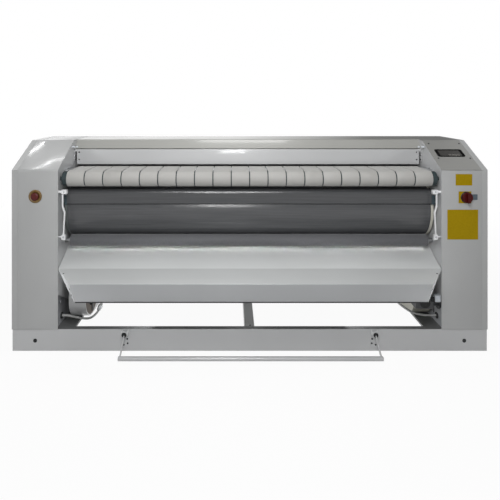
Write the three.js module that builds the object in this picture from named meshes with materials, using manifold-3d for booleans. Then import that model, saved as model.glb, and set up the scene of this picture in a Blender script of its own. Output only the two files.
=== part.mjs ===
// Flatwork ironer: a wall-type drying ironer with front feed and front return.
// Millimetres, +Z up, +X to the right as seen from the front, +Y towards the back.
// Inside the machine group, y = 0 is the front face of the two columns. The group is moved so that the
// origin is on the floor, under the middle of the whole object.

import * as THREE from 'three';
import { mergeVertices } from 'three/addons/utils/BufferGeometryUtils.js';
import Module from 'manifold-3d';

const wasm = await Module();
wasm.setup();

// ---------------------------------------------------------------- driving dimensions

const gap = 0.4; // air between two pieces that touch
const sheet = 2; // thickness of the painted sheet steel
const lap = 1; // how far two shapes overlap where they are joined into one solid
const past = 5; // how far a cutting shape reaches beyond what it cuts
const degree = Math.PI / 180;

const innerHalf = 1040; // centre plane to the inner face of a column
const columnWidth = 250;
const outerHalf = innerHalf + columnWidth;
const coverFlange = 30; // the outer side cover wraps this far round the front
const coverEdge = outerHalf - coverFlange;
const machineDepth = 700; // front face of a column to its back
const machineHeight = 1130;
const slantFoot = 990; // height where a column's front face leans back
const slantRun = 256; // how far the slanted face runs back
const topFlat = { rear: 575, drop: 10 }; // behind this the top falls a little towards the wall
const rearTop = machineHeight - topFlat.drop;

const baseTop = 125;
const fasciaBottom = 7;
const fasciaFace = 5; // the fascia stands this far behind the columns' front
const railDepth = 32;
const railFoot = 62; // the rails' lower flange is wider, for the feet
const platformInner = 957;
const baseHalf = 1284;

const cylinder = { y: 245, z: 745, radius: 175, wall: 8, half: 1013 };
const headHalf = 1030; // outer face of a cylinder head's rim
const journalRadius = 40;
const frameX = 1050; // inner face of a side frame
const framePlate = 8;

const feedFront = { y: 46, z: 936.5, radius: 38.5 };
const beltThickness = 2.4;
const webThickness = 0.8; // the joined carcass under the belts
const beltPitch = 100;
const beltWidth = 96;
const beltCount = 20;
const beltGap = 1.6; // between a roller and its belt, which is drawn in flat facets
const feedTop = feedFront.z + feedFront.radius + beltGap + beltThickness;
const feedRear = { y: 222, radius: 21.8 };
feedRear.z = feedTop - beltThickness - beltGap - feedRear.radius;

const band = { thickness: 3, cylinderGap: 1, rollerGap: 0.9, half: 1008 };
const bandReach = cylinder.radius + band.cylinderGap + band.thickness + band.rollerGap;
const exitAngle = -125; // degrees round the cylinder, 0 is towards the back
const topAngle = 60;
const exitRoller = pressedRoller(exitAngle, 30);
const topRoller = pressedRoller(topAngle, 35);
const rearRoller = { y: 520, z: 570, radius: 35 };

const guardHinge = { y: 284, z: 1068, radius: 5 };
const pedalPivot = { x: 674, y: -18, z: 110, radius: 6 };
const pedalBar = { y: -128, z: 38.5, radius: 11.5 };
const motorShaft = { y: 62, z: 250, radius: 12 };
const chainX = 1102; // the sprockets' inner face
const sprocketWidth = 10;
const drum = { radius: 130, outletHeight: 110 }; // the fan's housing and the duct share this bend
const fanDrum = { y: 190, z: 256, inner: 910, outer: 1003 };
const ductDrum = { y: 235, z: 257, inner: 935, outer: 1038 }; // further back, behind the gear motor

// The tray's sheet bends at these lines, from the back edge to the lip's return.
const trayBack = { y: 150, z: 531, half: 1037 };
const trayFold = { y: 93, z: 497.5, half: 1037 };
const trayCrease = { y: 0, z: 455, half: 1037 };
const trayLip = { y: -228, z: 462, half: 896 };
const trayLipFoot = { y: -185, z: 355, half: 887 };

const frontPlane = -(machineDepth + trayLip.y) / 2; // puts the footprint's middle at the origin

// A roller that presses the band on the cylinder, at an angle in degrees.
function pressedRoller(angle, radius) {
  const reach = bandReach + radius;
  return {
    y: cylinder.y + reach * Math.cos(angle * degree),
    z: cylinder.z + reach * Math.sin(angle * degree),
    radius,
  };
}

// ---------------------------------------------------------------- finishes

function finish(color, roughness, metalness = 0) {
  return new THREE.MeshStandardMaterial({ color, roughness, metalness, flatShading: true });
}

const paint = finish(0xc4c5c4, 0.42);
const framePaint = finish(0x4b4d4f, 0.55);
const polishedSteel = finish(0x77787a, 0.28, 1);
const brightSteel = finish(0xb4b6b8, 0.35, 1);
const creamPaint = finish(0xd9d4bf, 0.5);
const whitePaint = finish(0xe6e7e6, 0.4);
const bandFelt = finish(0x66676a, 0.8);
const beltCloth = finish(0xe4e3dc, 0.75);
const rollerRubber = finish(0x1f3438, 0.6);
const blackPaint = finish(0x17181a, 0.45);
const redPlastic = finish(0xa3121c, 0.35);
const glass = finish(0x1b1b1c, 0.15);
const greyPlastic = finish(0x8b8d8f, 0.5);

// ---------------------------------------------------------------- making solids

function bare(geometry) {
  const copy = geometry.clone();
  copy.deleteAttribute('normal');
  copy.deleteAttribute('uv');
  return mergeVertices(copy, 1e-4);
}

function toSolid(geometry) {
  const closed = bare(geometry);
  const vertProperties = Float32Array.from(closed.attributes.position.array);
  const triVerts = Uint32Array.from(closed.index.array);
  return new wasm.Manifold(new wasm.Mesh({ numProp: 3, vertProperties, triVerts }));
}

function toGeometry(solid) {
  const { vertProperties, triVerts } = solid.getMesh();
  const geometry = new THREE.BufferGeometry();
  geometry.setAttribute('position', new THREE.BufferAttribute(Float32Array.from(vertProperties), 3));
  geometry.setIndex(new THREE.BufferAttribute(Uint32Array.from(triVerts), 1));
  return geometry;
}

function join(...pieces) {
  return toGeometry(pieces.map(toSolid).reduce((whole, piece) => whole.add(piece)));
}

function cut(body, ...tools) {
  return toGeometry(tools.map(toSolid).reduce((rest, tool) => rest.subtract(tool), toSolid(body)));
}

// The same piece for the other side of the machine.
function mirrored(geometry) {
  const copy = bare(geometry);
  copy.scale(-1, 1, 1);
  const index = copy.index.array;
  for (let i = 0; i < index.length; i += 3) {
    [index[i + 1], index[i + 2]] = [index[i + 2], index[i + 1]];
  }
  return copy;
}

// ---------------------------------------------------------------- outlines

function circle(radius, sides, y = 0, z = 0) {
  return arc({ y, z }, radius, 0, 360 - 360 / sides, sides - 1);
}

// Points round a centre from one angle to another, in degrees.
function arc(centre, radius, from, to, steps) {
  return Array.from({ length: steps + 1 }, (_, i) => {
    const angle = (from + ((to - from) * i) / steps) * degree;
    return [centre.y + radius * Math.cos(angle), centre.z + radius * Math.sin(angle)];
  });
}

function rectangle(a0, a1, b0, b1) {
  return [[a0, b0], [a1, b0], [a1, b1], [a0, b1]];
}

// A line of corners moved sideways, to the right of its direction, with mitred corners.
function beside(points, distance) {
  const right = (p, q) => {
    const length = Math.hypot(q[0] - p[0], q[1] - p[1]);
    return [(q[1] - p[1]) / length, (p[0] - q[0]) / length];
  };
  return points.map((point, i) => {
    const last = points.length - 1;
    const a = right(points[Math.max(i - 1, 0)], points[Math.max(i, 1)]);
    const b = right(points[Math.min(i, last - 1)], points[Math.min(i + 1, last)]);
    const reach = distance / (1 + a[0] * b[0] + a[1] * b[1]);
    return [point[0] + (a[0] + b[0]) * reach, point[1] + (a[1] + b[1]) * reach];
  });
}

// The section of a bent sheet, from the line of its outer corners.
function strip(points, thickness = sheet) {
  return [...points, ...beside(points, thickness).reverse()];
}

// ---------------------------------------------------------------- outlines made solid

const outlineYZ = new THREE.Matrix4().makeBasis(
  new THREE.Vector3(0, 1, 0), new THREE.Vector3(0, 0, 1), new THREE.Vector3(1, 0, 0));
const outlineXZ = new THREE.Matrix4().makeBasis(
  new THREE.Vector3(1, 0, 0), new THREE.Vector3(0, 0, 1), new THREE.Vector3(0, -1, 0));

function prism(outline, depth, holes) {
  const line = (points) => points.map(([a, b]) => new THREE.Vector2(a, b));
  const shape = new THREE.Shape(line(outline));
  holes.forEach((hole) => shape.holes.push(new THREE.Path(line(hole))));
  return new THREE.ExtrudeGeometry(shape, { depth, bevelEnabled: false });
}

function alongX(outline, x0, x1, holes = []) {
  return prism(outline, x1 - x0, holes).applyMatrix4(outlineYZ).translate(x0, 0, 0);
}

function alongY(outline, y0, y1, holes = []) {
  return prism(outline, y1 - y0, holes).applyMatrix4(outlineXZ).translate(0, y1, 0);
}

function alongZ(outline, z0, z1, holes = []) {
  return prism(outline, z1 - z0, holes).translate(0, 0, z0);
}

function block(x0, x1, y0, y1, z0, z1) {
  return alongX(rectangle(y0, y1, z0, z1), x0, x1);
}

// A flat plate from its corners, counter-clockwise as its face shows them, with its thickness as a
// vector away from that face.
function plate(corners, [dx, dy, dz]) {
  const count = corners.length;
  const far = corners.map(([x, y, z]) => [x + dx, y + dy, z + dz]);
  const index = [];
  for (let i = 1; i < count - 1; i += 1) {
    index.push(0, i, i + 1, count, count + i + 1, count + i);
  }
  for (let i = 0; i < count; i += 1) {
    const next = (i + 1) % count;
    index.push(i, count + i, count + next, i, count + next, next);
  }
  const geometry = new THREE.BufferGeometry();
  geometry.setAttribute('position', new THREE.Float32BufferAttribute([...corners, ...far].flat(), 3));
  geometry.setIndex(index);
  return geometry;
}

// ---------------------------------------------------------------- the machine

const machine = new THREE.Group();
machine.name = 'machine';
machine.position.set(0, frontPlane, 0);

function add(name, geometry, material, x = 0, y = 0, z = 0) {
  const mesh = new THREE.Mesh(geometry, material);
  mesh.name = name;
  mesh.position.set(x, y, z);
  machine.add(mesh);
}

// A piece on each side: the geometry is that of the right-hand one.
function addPair(name, geometry, material, x = 0, y = 0, z = 0) {
  add(`right_${name}`, geometry, material, x, y, z);
  add(`left_${name}`, mirrored(geometry), material, -x, y, z);
}

// ---------------------------------------------------------------- base frame

const fasciaBack = fasciaFace + sheet;
const railFront = fasciaBack + gap;
const railTop = baseTop - gap;
const railBottom = 20;
const railPlate = 4;
const footX = 1150;
const footY = railFront + railFoot - 25;
const railHalf = baseHalf - 1;

// A channel with its wide flange down, open to the middle of the machine.
function railSection(y, inward) {
  return [
    [y, railBottom], [y + inward * railFoot, railBottom], [y + inward * railFoot, railBottom + railPlate],
    [y + inward * railPlate, railBottom + railPlate], [y + inward * railPlate, railTop - railPlate],
    [y + inward * railDepth, railTop - railPlate], [y + inward * railDepth, railTop], [y, railTop],
  ];
}

function footHole(x, y) {
  return alongZ(circle(9, 12, x, y), railBottom - past, railBottom + railPlate + past);
}

const rearFootY = machineDepth - footY;
const rail = (y, inward, holeY) => cut(
  alongX(railSection(y, inward), -railHalf, railHalf), footHole(footX, holeY), footHole(-footX, holeY));
add('base_front_rail', rail(railFront, 1, footY), framePaint);
add('base_rear_rail', rail(machineDepth - railFront, -1, rearFootY), framePaint);

// A box beam with a flat tongue at each end, which lies on the rails.
const beam = { half: 27, height: 70, wall: 3 };
const betweenRails = [railFront + railDepth + gap, machineDepth - railFront - railDepth - gap];
const beamFront = railFront + railFoot + gap;
const beamEnd = machineDepth - beamFront;
const beamTongue = (y0, y1) => block(-beam.half, beam.half, y0, y1, railTop - beam.wall, railTop);
const beamHollow = rectangle(
  -beam.half + beam.wall, beam.half - beam.wall, railTop - beam.height + beam.wall, railTop - beam.wall);
add('base_center_beam', join(
  alongY(rectangle(-beam.half, beam.half, railTop - beam.height, railTop), beamFront, beamEnd, [beamHollow]),
  beamTongue(betweenRails[0], beamFront + lap),
  beamTongue(beamEnd - lap, betweenRails[1]),
), framePaint);

// A folded plate under each column, with a short lip inside and a deep flange outside.
const platformWall = 3;
const platformLine = [
  [baseHalf, 45], [baseHalf, railTop], [platformInner, railTop], [platformInner, railTop - 12]];
addPair('platform', alongY(strip(platformLine, -platformWall), ...betweenRails), framePaint);

const plug = { x: 1165, z: 63, radius: 9 };
const plugHole = (x) => alongY(circle(plug.radius, 12, x, plug.z), fasciaFace - past, fasciaBack + past);
const fasciaHalf = baseHalf + 4;
add('base_front_fascia', cut(
  block(-fasciaHalf, fasciaHalf, fasciaFace, fasciaBack, fasciaBottom, railTop),
  plugHole(plug.x), plugHole(-plug.x)), paint);

const footShape = new THREE.LatheGeometry(
  [[0, 0], [24, 0], [24, 6], [8, 12], [8, 46], [0, 46]].map(([r, z]) => new THREE.Vector2(r, z)), 12)
  .rotateX(Math.PI / 2);
addPair('front_foot', footShape, brightSteel, footX, footY);
addPair('rear_foot', footShape, brightSteel, footX, rearFootY);

// ---------------------------------------------------------------- columns

const columnLine = [
  [0, baseTop], [0, slantFoot], [slantRun, machineHeight],
  [topFlat.rear, machineHeight], [machineDepth, rearTop]];
const estop = { x: -1162, z: 847 };
const mainSwitch = { x: 1174, z: 842 };
const buttonHole = (x, z) => alongY(circle(12, 16, x, z), -past, sheet + past);

addPair('side_cover', join(
  alongX([...columnLine, [machineDepth, baseTop]], outerHalf - sheet, outerHalf),
  alongX(strip([...columnLine, [machineDepth, baseTop]]), coverEdge, outerHalf - lap),
  block(innerHalf + sheet + gap, outerHalf - lap,
    machineDepth - sheet, machineDepth, baseTop, rearTop - past),
), paint);

const coverBack = machineDepth - sheet - gap;
const shortLine = [...columnLine.slice(0, 4), [coverBack, rearTop]];
add('left_front_cover', cut(
  alongX(strip(shortLine), -coverEdge + gap, -innerHalf), buttonHole(estop.x, estop.z)), paint);
const seam = slantFoot - 2.4; // the control panel's lower edge meets the front cover here
add('right_front_cover', cut(
  block(innerHalf, coverEdge - gap, 0, sheet, baseTop, seam), buttonHole(mainSwitch.x, mainSwitch.z)), paint);

// The slanted panel is worked flat: u runs up the slope from its foot.
const slope = Math.atan2(machineHeight - slantFoot, slantRun);
const slantLength = Math.hypot(machineHeight - slantFoot, slantRun);
const display = { x0: 1082, x1: 1219, u0: 0.43 * slantLength, u1: 0.655 * slantLength };
function onSlant(geometry) {
  return geometry.rotateX(slope).translate(0, 0, slantFoot);
}
const displayOpening = onSlant(block(display.x0, display.x1, display.u0, display.u1, -10, 10));
add('control_panel', cut(
  alongX(strip(shortLine.slice(1)), innerHalf, coverEdge - gap), displayOpening), paint);
add('display_window', onSlant(block(
  display.x0 + gap, display.x1 - gap, display.u0 + gap, display.u1 - gap, -5, -0.6)), glass);

// The inner cover stops on a slanting edge above the base, where the side frame shows.
const frameOuter = frameX + framePlate;
const shaftHole = (shaft, radius) => alongX(
  circle(radius, 12, shaft.y, shaft.z), innerHalf - past, frameOuter + past);
const rollers = [feedFront, feedRear, exitRoller, topRoller, rearRoller];
const shaftRadius = 10;
const innerLine = beside(columnLine, sheet + gap);
const innerFoot = { front: 312, rear: 207, slantEnd: 190 };
const innerOutline = [
  [innerLine[1][0], innerFoot.front], innerLine[1], innerLine[2], innerLine[3], [coverBack, innerLine[4][1]],
  [coverBack, innerFoot.rear], [innerFoot.slantEnd, innerFoot.rear]];
addPair('inner_cover', cut(
  alongX(innerOutline, innerHalf, innerHalf + sheet),
  shaftHole(cylinder, journalRadius + 20),
  ...rollers.map((roller) => shaftHole(roller, shaftRadius + 4)),
), paint);

// A steel plate that carries the bearings, with a flange along its foot that is bolted to the base.
const grommet = { y: 78, z: 167 };
const frameOutline = [[12, baseTop], [12, 975], [slantRun, 1105], [690, 1105], [690, baseTop]];
const footFlange = { width: 48, y0: 50, y1: 650, thickness: 6 };
addPair('side_frame', cut(
  join(
    alongX(frameOutline, frameX, frameOuter),
    block(frameX + lap, frameX + footFlange.width, footFlange.y0, footFlange.y1, baseTop,
      baseTop + footFlange.thickness),
  ),
  shaftHole(cylinder, journalRadius + 6),
  shaftHole(motorShaft, motorShaft.radius + 1),
  shaftHole(grommet, 10),
  ...rollers.map((roller) => shaftHole(roller, shaftRadius + gap)),
), framePaint);

// ---------------------------------------------------------------- button and switch

// A turned part on a line along Y, its profile given as radius and y.
function turnedAlongY(profile, sides) {
  return new THREE.LatheGeometry(profile.map(([r, y]) => new THREE.Vector2(r, y)), sides);
}

add('estop_button', turnedAlongY(
  [[0, -16], [12, -15.4], [18, -13], [20, -9.5], [19, -6.5], [11, -6], [11, 35], [0, 35]], 24),
redPlastic, estop.x, 0, estop.z);

add('main_switch_knob', join(
  turnedAlongY([[0, -20], [27, -20], [29, -17], [29, -5], [8, -4], [8, 35], [0, 35]], 24),
  block(-7, 7, -36, -19, -26, 26),
), redPlastic, mainSwitch.x, 0, mainSwitch.z);

// ---------------------------------------------------------------- top and back

const coverHalf = innerHalf - gap;
const coverFoot = { y: 276, z: 1078 };
const coverBend = { y: 314, z: machineHeight };
add('top_cover', alongX(strip([
  [coverFoot.y + 9, coverFoot.z], [coverFoot.y, coverFoot.z], [coverBend.y, coverBend.z],
  [topFlat.rear, machineHeight], [machineDepth, rearTop], [machineDepth, rearTop - 25],
]), -coverHalf, coverHalf), paint);

const outletEdge = 6; // the rear cover laps this far over an air outlet
function outletHole({ z, inner, outer }) {
  const foot = z - drum.radius;
  const opening = rectangle(
    inner + outletEdge, outer - outletEdge, foot + outletEdge, foot + drum.outletHeight - outletEdge);
  return alongY(opening, machineDepth - 2 * past, machineDepth + past);
}
add('rear_cover', cut(
  block(-coverHalf, coverHalf, machineDepth - 2 * sheet - gap, coverBack, baseTop, rearTop - 3),
  outletHole(ductDrum), mirrored(outletHole(fanDrum))), paint);

// ---------------------------------------------------------------- finger guard

const guardHalf = 1028;
const guardLine = [[291, 1074], [276, 1074], [272, 984], [282, 982]];
const hingeRod = { half: guardHalf + 8, bossRadius: 9 };
add('finger_guard', join(
  alongX(strip(guardLine, -sheet), -guardHalf, guardHalf),
  alongX(circle(guardHinge.radius, 12, guardHinge.y, guardHinge.z), -hingeRod.half, hingeRod.half),
), paint);

// A plate on the column with a boss, in which the guard's rod turns.
addPair('guard_bracket', cut(
  join(
    block(coverHalf - sheet, coverHalf, 262, 300, 1004, 1075),
    alongX(circle(hingeRod.bossRadius, 16, guardHinge.y, guardHinge.z - 2), guardHalf + 1, coverHalf - lap),
  ),
  alongX(circle(guardHinge.radius + gap, 16, guardHinge.y, guardHinge.z), guardHalf, coverHalf - 1.5),
), paint);

// ---------------------------------------------------------------- feed

// A roller with a journal at each end that runs in the side frames.
function roller({ radius }, half, sides) {
  const journalHalf = frameOuter - 2;
  return join(
    alongX(circle(radius, sides), -half, half),
    alongX(circle(shaftRadius, 12), -journalHalf, journalHalf));
}

function addRoller(name, place, half, sides, material) {
  add(name, roller(place, half, sides), material, 0, place.y, place.z);
}

addRoller('feed_front_roller', feedFront, 1024, 28, rollerRubber);
addRoller('feed_rear_roller', feedRear, 1010, 16, rollerRubber);

// A folded plate that carries the belts between their rollers, with an ear at each end.
const tableTop = feedTop - beltThickness - gap;
const table = { front: 92, rear: 194, frontFoot: tableTop - 12, rearFoot: tableTop - 10, plate: 3 };
const tableLine = [
  [table.front, table.frontFoot], [table.front, tableTop],
  [table.rear, tableTop], [table.rear, table.rearFoot]];
const tableEar = block(coverHalf - table.plate, coverHalf, 110, 180, tableTop - 36, tableTop - lap);
add('feed_table', join(
  alongX(strip(tableLine, table.plate), -coverHalf, coverHalf), tableEar, mirrored(tableEar)), brightSteel);

// A belt's line round the two feed rollers, at a height above their surfaces.
function feedLoop(height) {
  const run = Math.hypot(feedRear.y - feedFront.y, feedRear.z - feedFront.z);
  const lean = Math.atan2(feedRear.z - feedFront.z, feedRear.y - feedFront.y) / degree;
  const lower = lean - Math.acos((feedFront.radius - feedRear.radius) / run) / degree;
  return [
    ...arc(feedFront, feedFront.radius + height, 90, lower + 360, 9),
    ...arc(feedRear, feedRear.radius + height, lower, 90, 5),
  ];
}

function feedBelt(x, width, from, to) {
  return alongX(feedLoop(to), x - width / 2, x + width / 2, [feedLoop(from)]);
}

const beltSpan = beltPitch * beltCount;
const belts = Array.from({ length: beltCount }, (_, i) => feedBelt(
  -beltSpan / 2 + beltPitch * (i + 0.5), beltWidth, beltGap + webThickness / 2, beltGap + beltThickness));
add('feed_belts', join(feedBelt(0, beltSpan - 4, beltGap, beltGap + webThickness), ...belts), beltCloth);

// ---------------------------------------------------------------- ironing cylinder

add('ironing_cylinder', alongX(
  circle(cylinder.radius, 48), -cylinder.half, cylinder.half,
  [circle(cylinder.radius - cylinder.wall, 24)]), polishedSteel, 0, cylinder.y, cylinder.z);

// A head: a spigot inside the cylinder, a rim that shows, and a hollow journal.
const journalEnd = chainX + sprocketWidth + 2;
const headBore = 25;
addPair('cylinder_head', cut(
  join(
    alongX(circle(cylinder.radius - cylinder.wall - 2.5, 24), cylinder.half - 12, cylinder.half + 1),
    alongX(circle(cylinder.radius - 2, 48), cylinder.half + gap, headHalf),
    alongX(circle(journalRadius, 20), headHalf - 1, journalEnd),
  ),
  alongX(circle(headBore, 12), cylinder.half - 20, journalEnd + past),
), creamPaint, 0, cylinder.y, cylinder.z);

const bearingHalf = 75;
addPair('cylinder_bearing', alongX(
  rectangle(-bearingHalf, bearingHalf, -bearingHalf, bearingHalf),
  frameOuter + gap, chainX - 4, [circle(journalRadius + 1, 20)]),
framePaint, 0, cylinder.y, cylinder.z);

const rodCircle = 118;
const spiderX = [-900, 900];
const heaterRod = Array.from({ length: 6 }, (_, i) => {
  const [y, z] = arc({ y: 0, z: 0 }, rodCircle, i * 60, i * 60, 1)[0];
  return alongX(circle(8, 6, y, z), -930, 930);
});
add('heating_elements', join(
  alongX(circle(headBore - 1, 12), -journalEnd, journalEnd),
  ...spiderX.map((x) => alongX(circle(rodCircle + 16, 12), x - 3, x + 3)),
  ...heaterRod,
), brightSteel, 0, cylinder.y, cylinder.z);

// ---------------------------------------------------------------- ironing band and its rollers

// The band's line: down the back of the cylinder, round the exit roller, back under the cylinder,
// and up over the rear and top rollers. The height is counted from the rollers' surfaces.
function bandLoop(height) {
  const cylinderReach = bandReach - height;
  const between = (a, b) => {
    const angle = Math.atan2(b.z - a.z, b.y - a.y) / degree;
    const length = Math.hypot(b.z - a.z, b.y - a.y);
    return angle - Math.acos((a.radius - b.radius) / length) / degree;
  };
  const under = between(exitRoller, rearRoller) + 360;
  const behind = between(rearRoller, topRoller) + 360;
  return [
    ...arc(cylinder, cylinderReach, topAngle, exitAngle, 28),
    ...arc(exitRoller, exitRoller.radius + height, exitAngle + 180, under, 12).slice(1),
    ...arc(rearRoller, rearRoller.radius + height, under, behind, 6),
    ...arc(topRoller, topRoller.radius + height, behind - 360, topAngle + 180, 12).slice(0, -1),
  ];
}

const bandOuter = bandLoop(band.rollerGap + band.thickness);
const bandInner = bandLoop(band.rollerGap);
add('ironing_band', alongX(bandOuter, -band.half, band.half, [bandInner]), bandFelt);
addRoller('exit_roller', exitRoller, 1012, 24, brightSteel);
addRoller('band_top_roller', topRoller, 1012, 24, brightSteel);
addRoller('band_rear_roller', rearRoller, 1012, 24, brightSteel);

// ---------------------------------------------------------------- apron and stays

const apronHalf = 1013;
const apronLine = [[68, 790], [62, 794], [62, 856], [75, 874], [85, 876]];
const apronBlock = block(apronHalf - 6, apronHalf, 63, 69, 800, 830);
const apronTab = block(apronHalf - lap, coverHalf, 66, 69, 788, 840);
add('front_apron', join(
  alongX(strip(apronLine), -apronHalf, apronHalf),
  apronBlock, mirrored(apronBlock), apronTab, mirrored(apronTab),
), polishedSteel);

// A bent flat bar between a block under the feed roller and a block above the tray.
addPair('stay_bracket', join(
  block(994, 1022, 2, 22, 859, 881),
  alongX(circle(7, 12, 12, 869), 1021, coverHalf),
  alongY(strip([[1014, 860], [1014, 790], [1003, 757], [1010, 630]], -7), 8, 16),
  block(1002, 1022, 3, 21, 611, 636),
  alongX(circle(4, 12, 12, 624), 1021, coverHalf),
), whitePaint);

// ---------------------------------------------------------------- return tray

const across = (a, b) => [
  [-a.half, a.y, a.z], [a.half, a.y, a.z], [b.half, b.y, b.z], [-b.half, b.y, b.z]];
const traySide = block(trayBack.half - sheet, trayBack.half, 5, 140, 425, 457);
const trayCorner = block(trayBack.half - 20, trayBack.half, 5, 12, 425, 457.5);
const lipReturn = 16;
add('return_tray', join(
  plate(across(trayFold, trayBack), [0, 0, -sheet]),
  plate(across(trayCrease, trayFold), [0, 0, -sheet]),
  plate(across(trayLip, trayCrease), [0, 0, -sheet]),
  plate(across(trayLipFoot, trayLip), [0, sheet, 0]),
  block(-trayLipFoot.half, trayLipFoot.half, trayLipFoot.y, trayLipFoot.y + lipReturn,
    trayLipFoot.z, trayLipFoot.z + sheet),
  traySide, mirrored(traySide), trayCorner, mirrored(trayCorner),
), paint);

// An end plate closes the triangle between the tray's slanting side and the foot of the lip.
addPair('tray_end', plate([
  [1036, -1, 452.3], [888, -184, 355], [897.4, -225.5, 459.2]], [1.62, -1.03, -0.56]), paint);

// ---------------------------------------------------------------- foot pedal

const { x: armX } = pedalPivot;
const earHalf = 13; // half the room between a bracket's ears
const earPlate = 4;
const armHalf = { width: 8, thickness: 2.5 };
const armLine = [[pedalPivot.y, pedalPivot.z], [pedalBar.y, pedalBar.z]];
const pedalArm = alongX(
  [...beside(armLine, armHalf.width), ...beside(armLine, -armHalf.width).reverse()],
  armX - armHalf.thickness, armX + armHalf.thickness);
const pedalEye = alongX(
  circle(12, 16, pedalPivot.y, pedalPivot.z), armX - earHalf + gap, armX + earHalf - gap);
const pedalBore = alongX(
  circle(pedalPivot.radius + gap, 16, pedalPivot.y, pedalPivot.z), armX - 2 * earHalf, armX + 2 * earHalf);
add('foot_pedal', cut(
  join(
    alongX(circle(pedalBar.radius, 16, pedalBar.y, pedalBar.z), -armX - 8, armX + 8),
    pedalArm, mirrored(pedalArm), pedalEye, mirrored(pedalEye),
  ),
  pedalBore, mirrored(pedalBore),
), paint);

const earRadius = 11;
const bracketHalf = earHalf + earPlate + 1;
const pedalBracket = { foot: 28, top: 122 };
const ear = (x) => join(
  block(x, x + earPlate, pedalPivot.y, fasciaFace - 3, pedalPivot.z - earRadius, pedalPivot.z + earRadius),
  alongX(circle(earRadius, 16, pedalPivot.y, pedalPivot.z), x, x + earPlate));
addPair('pedal_bracket', join(
  block(armX - bracketHalf, armX + bracketHalf, fasciaFace - gap - 3, fasciaFace - gap,
    pedalBracket.foot, pedalBracket.top),
  ear(armX + earHalf), ear(armX - earHalf - earPlate),
  alongX(circle(pedalPivot.radius, 16, pedalPivot.y, pedalPivot.z), armX - earHalf - 2, armX + earHalf + 2),
), paint);

// ---------------------------------------------------------------- drive

const gearbox = { x0: 909, x1: 1005, y0: 22, y1: 98, z0: 228, z1: 330 };
const gearboxX = (gearbox.x0 + gearbox.x1) / 2;
const shaftStart = gearboxX - 7;
add('drive_motor', cut(
  join(
    block(gearbox.x0, gearbox.x1, gearbox.y0, gearbox.y1, gearbox.z0, gearbox.z1),
    alongY(circle(27, 16, gearboxX, gearbox.z0 + 34), gearbox.y0 - 10, gearbox.y0 + 1),
    alongZ(circle(42, 24, gearboxX, 60), gearbox.z1 - 1, gearbox.z1 + 110),
    alongX(circle(22, 12, motorShaft.y, motorShaft.z), gearbox.x1 - 1, frameX - gap),
    alongX(circle(38, 16, motorShaft.y, motorShaft.z), innerHalf + 3, frameX - gap),
  ),
  alongX(circle(motorShaft.radius + 0.8, 12, motorShaft.y, motorShaft.z), shaftStart, frameX + past),
), blackPaint);

const motorTeeth = 11;
const cylinderTeeth = 35;
const motorTip = 42;
const cylinderTip = 132;

function toothed(teeth, tip) {
  return Array.from({ length: teeth * 2 }, (_, i) => arc({ y: 0, z: 0 }, i % 2 ? tip - 6 : tip,
    (i * 180) / teeth, 0, 1)[0]);
}

const chainEnd = chainX + sprocketWidth;
add('motor_sprocket', join(
  alongX(circle(motorShaft.radius, 12), shaftStart + gap, chainEnd + 1),
  alongX(toothed(motorTeeth, motorTip), chainX, chainEnd),
), brightSteel, 0, motorShaft.y, motorShaft.z);
add('cylinder_sprocket', alongX(
  toothed(cylinderTeeth, cylinderTip), chainX, chainEnd, [circle(journalRadius + gap, 20)]),
brightSteel, 0, cylinder.y, cylinder.z);

// The chain's line round both sprockets, at a height above the teeth.
function chainLoop(height) {
  const run = Math.hypot(cylinder.y - motorShaft.y, cylinder.z - motorShaft.z);
  const lean = Math.atan2(cylinder.z - motorShaft.z, cylinder.y - motorShaft.y) / degree;
  const spread = Math.acos((motorTip - cylinderTip) / run) / degree;
  return [
    ...arc(motorShaft, motorTip + height, lean + spread, lean + 360 - spread, 8),
    ...arc(cylinder, cylinderTip + height, lean - spread, lean + spread, 16),
  ];
}
add('drive_chain', alongX(chainLoop(9), chainX + 2, chainEnd - 2, [chainLoop(1)]), brightSteel);

// ---------------------------------------------------------------- exhaust fan and extraction duct

const ductEnd = machineDepth - 6;

// A snail-shaped housing: round the wheel, with a straight outlet along the bottom to the back.
function fanOutline(inset, end) {
  const radius = drum.radius - inset;
  const foot = fanDrum.z - radius;
  const top = fanDrum.z - drum.radius + drum.outletHeight - inset;
  const meet = Math.asin((top - fanDrum.z) / radius) / degree;
  return [[end, foot], [end, top], ...arc(fanDrum, radius, meet, 270, 20)];
}

// A flat duct: down along the inner wall, round a bend and out at the back.
function ductOutline(inset, end, top) {
  const { y, z } = ductDrum;
  const outer = drum.radius - inset;
  const inner = drum.radius - drum.outletHeight + inset;
  return [
    [end, z - outer], [end, z - inner], ...arc(ductDrum, inner, 270, 180, 4),
    [y - inner, top], [y - outer, top], ...arc(ductDrum, outer, 180, 270, 12),
  ];
}

const eyeRadius = 75;
add('left_fan_housing', mirrored(cut(
  alongX(fanOutline(0, ductEnd), fanDrum.inner, fanDrum.outer),
  alongX(fanOutline(sheet, ductEnd + past), fanDrum.inner + sheet, fanDrum.outer - sheet),
  alongX(circle(eyeRadius, 20, fanDrum.y, fanDrum.z), fanDrum.inner - past, fanDrum.inner + past),
)), paint);

const ductTop = 420;
add('right_extraction_duct', cut(
  alongX(ductOutline(0, ductEnd, ductTop), ductDrum.inner, ductDrum.outer),
  alongX(ductOutline(sheet, ductEnd + past, ductTop + past), ductDrum.inner + sheet, ductDrum.outer - sheet),
), creamPaint);

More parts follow.
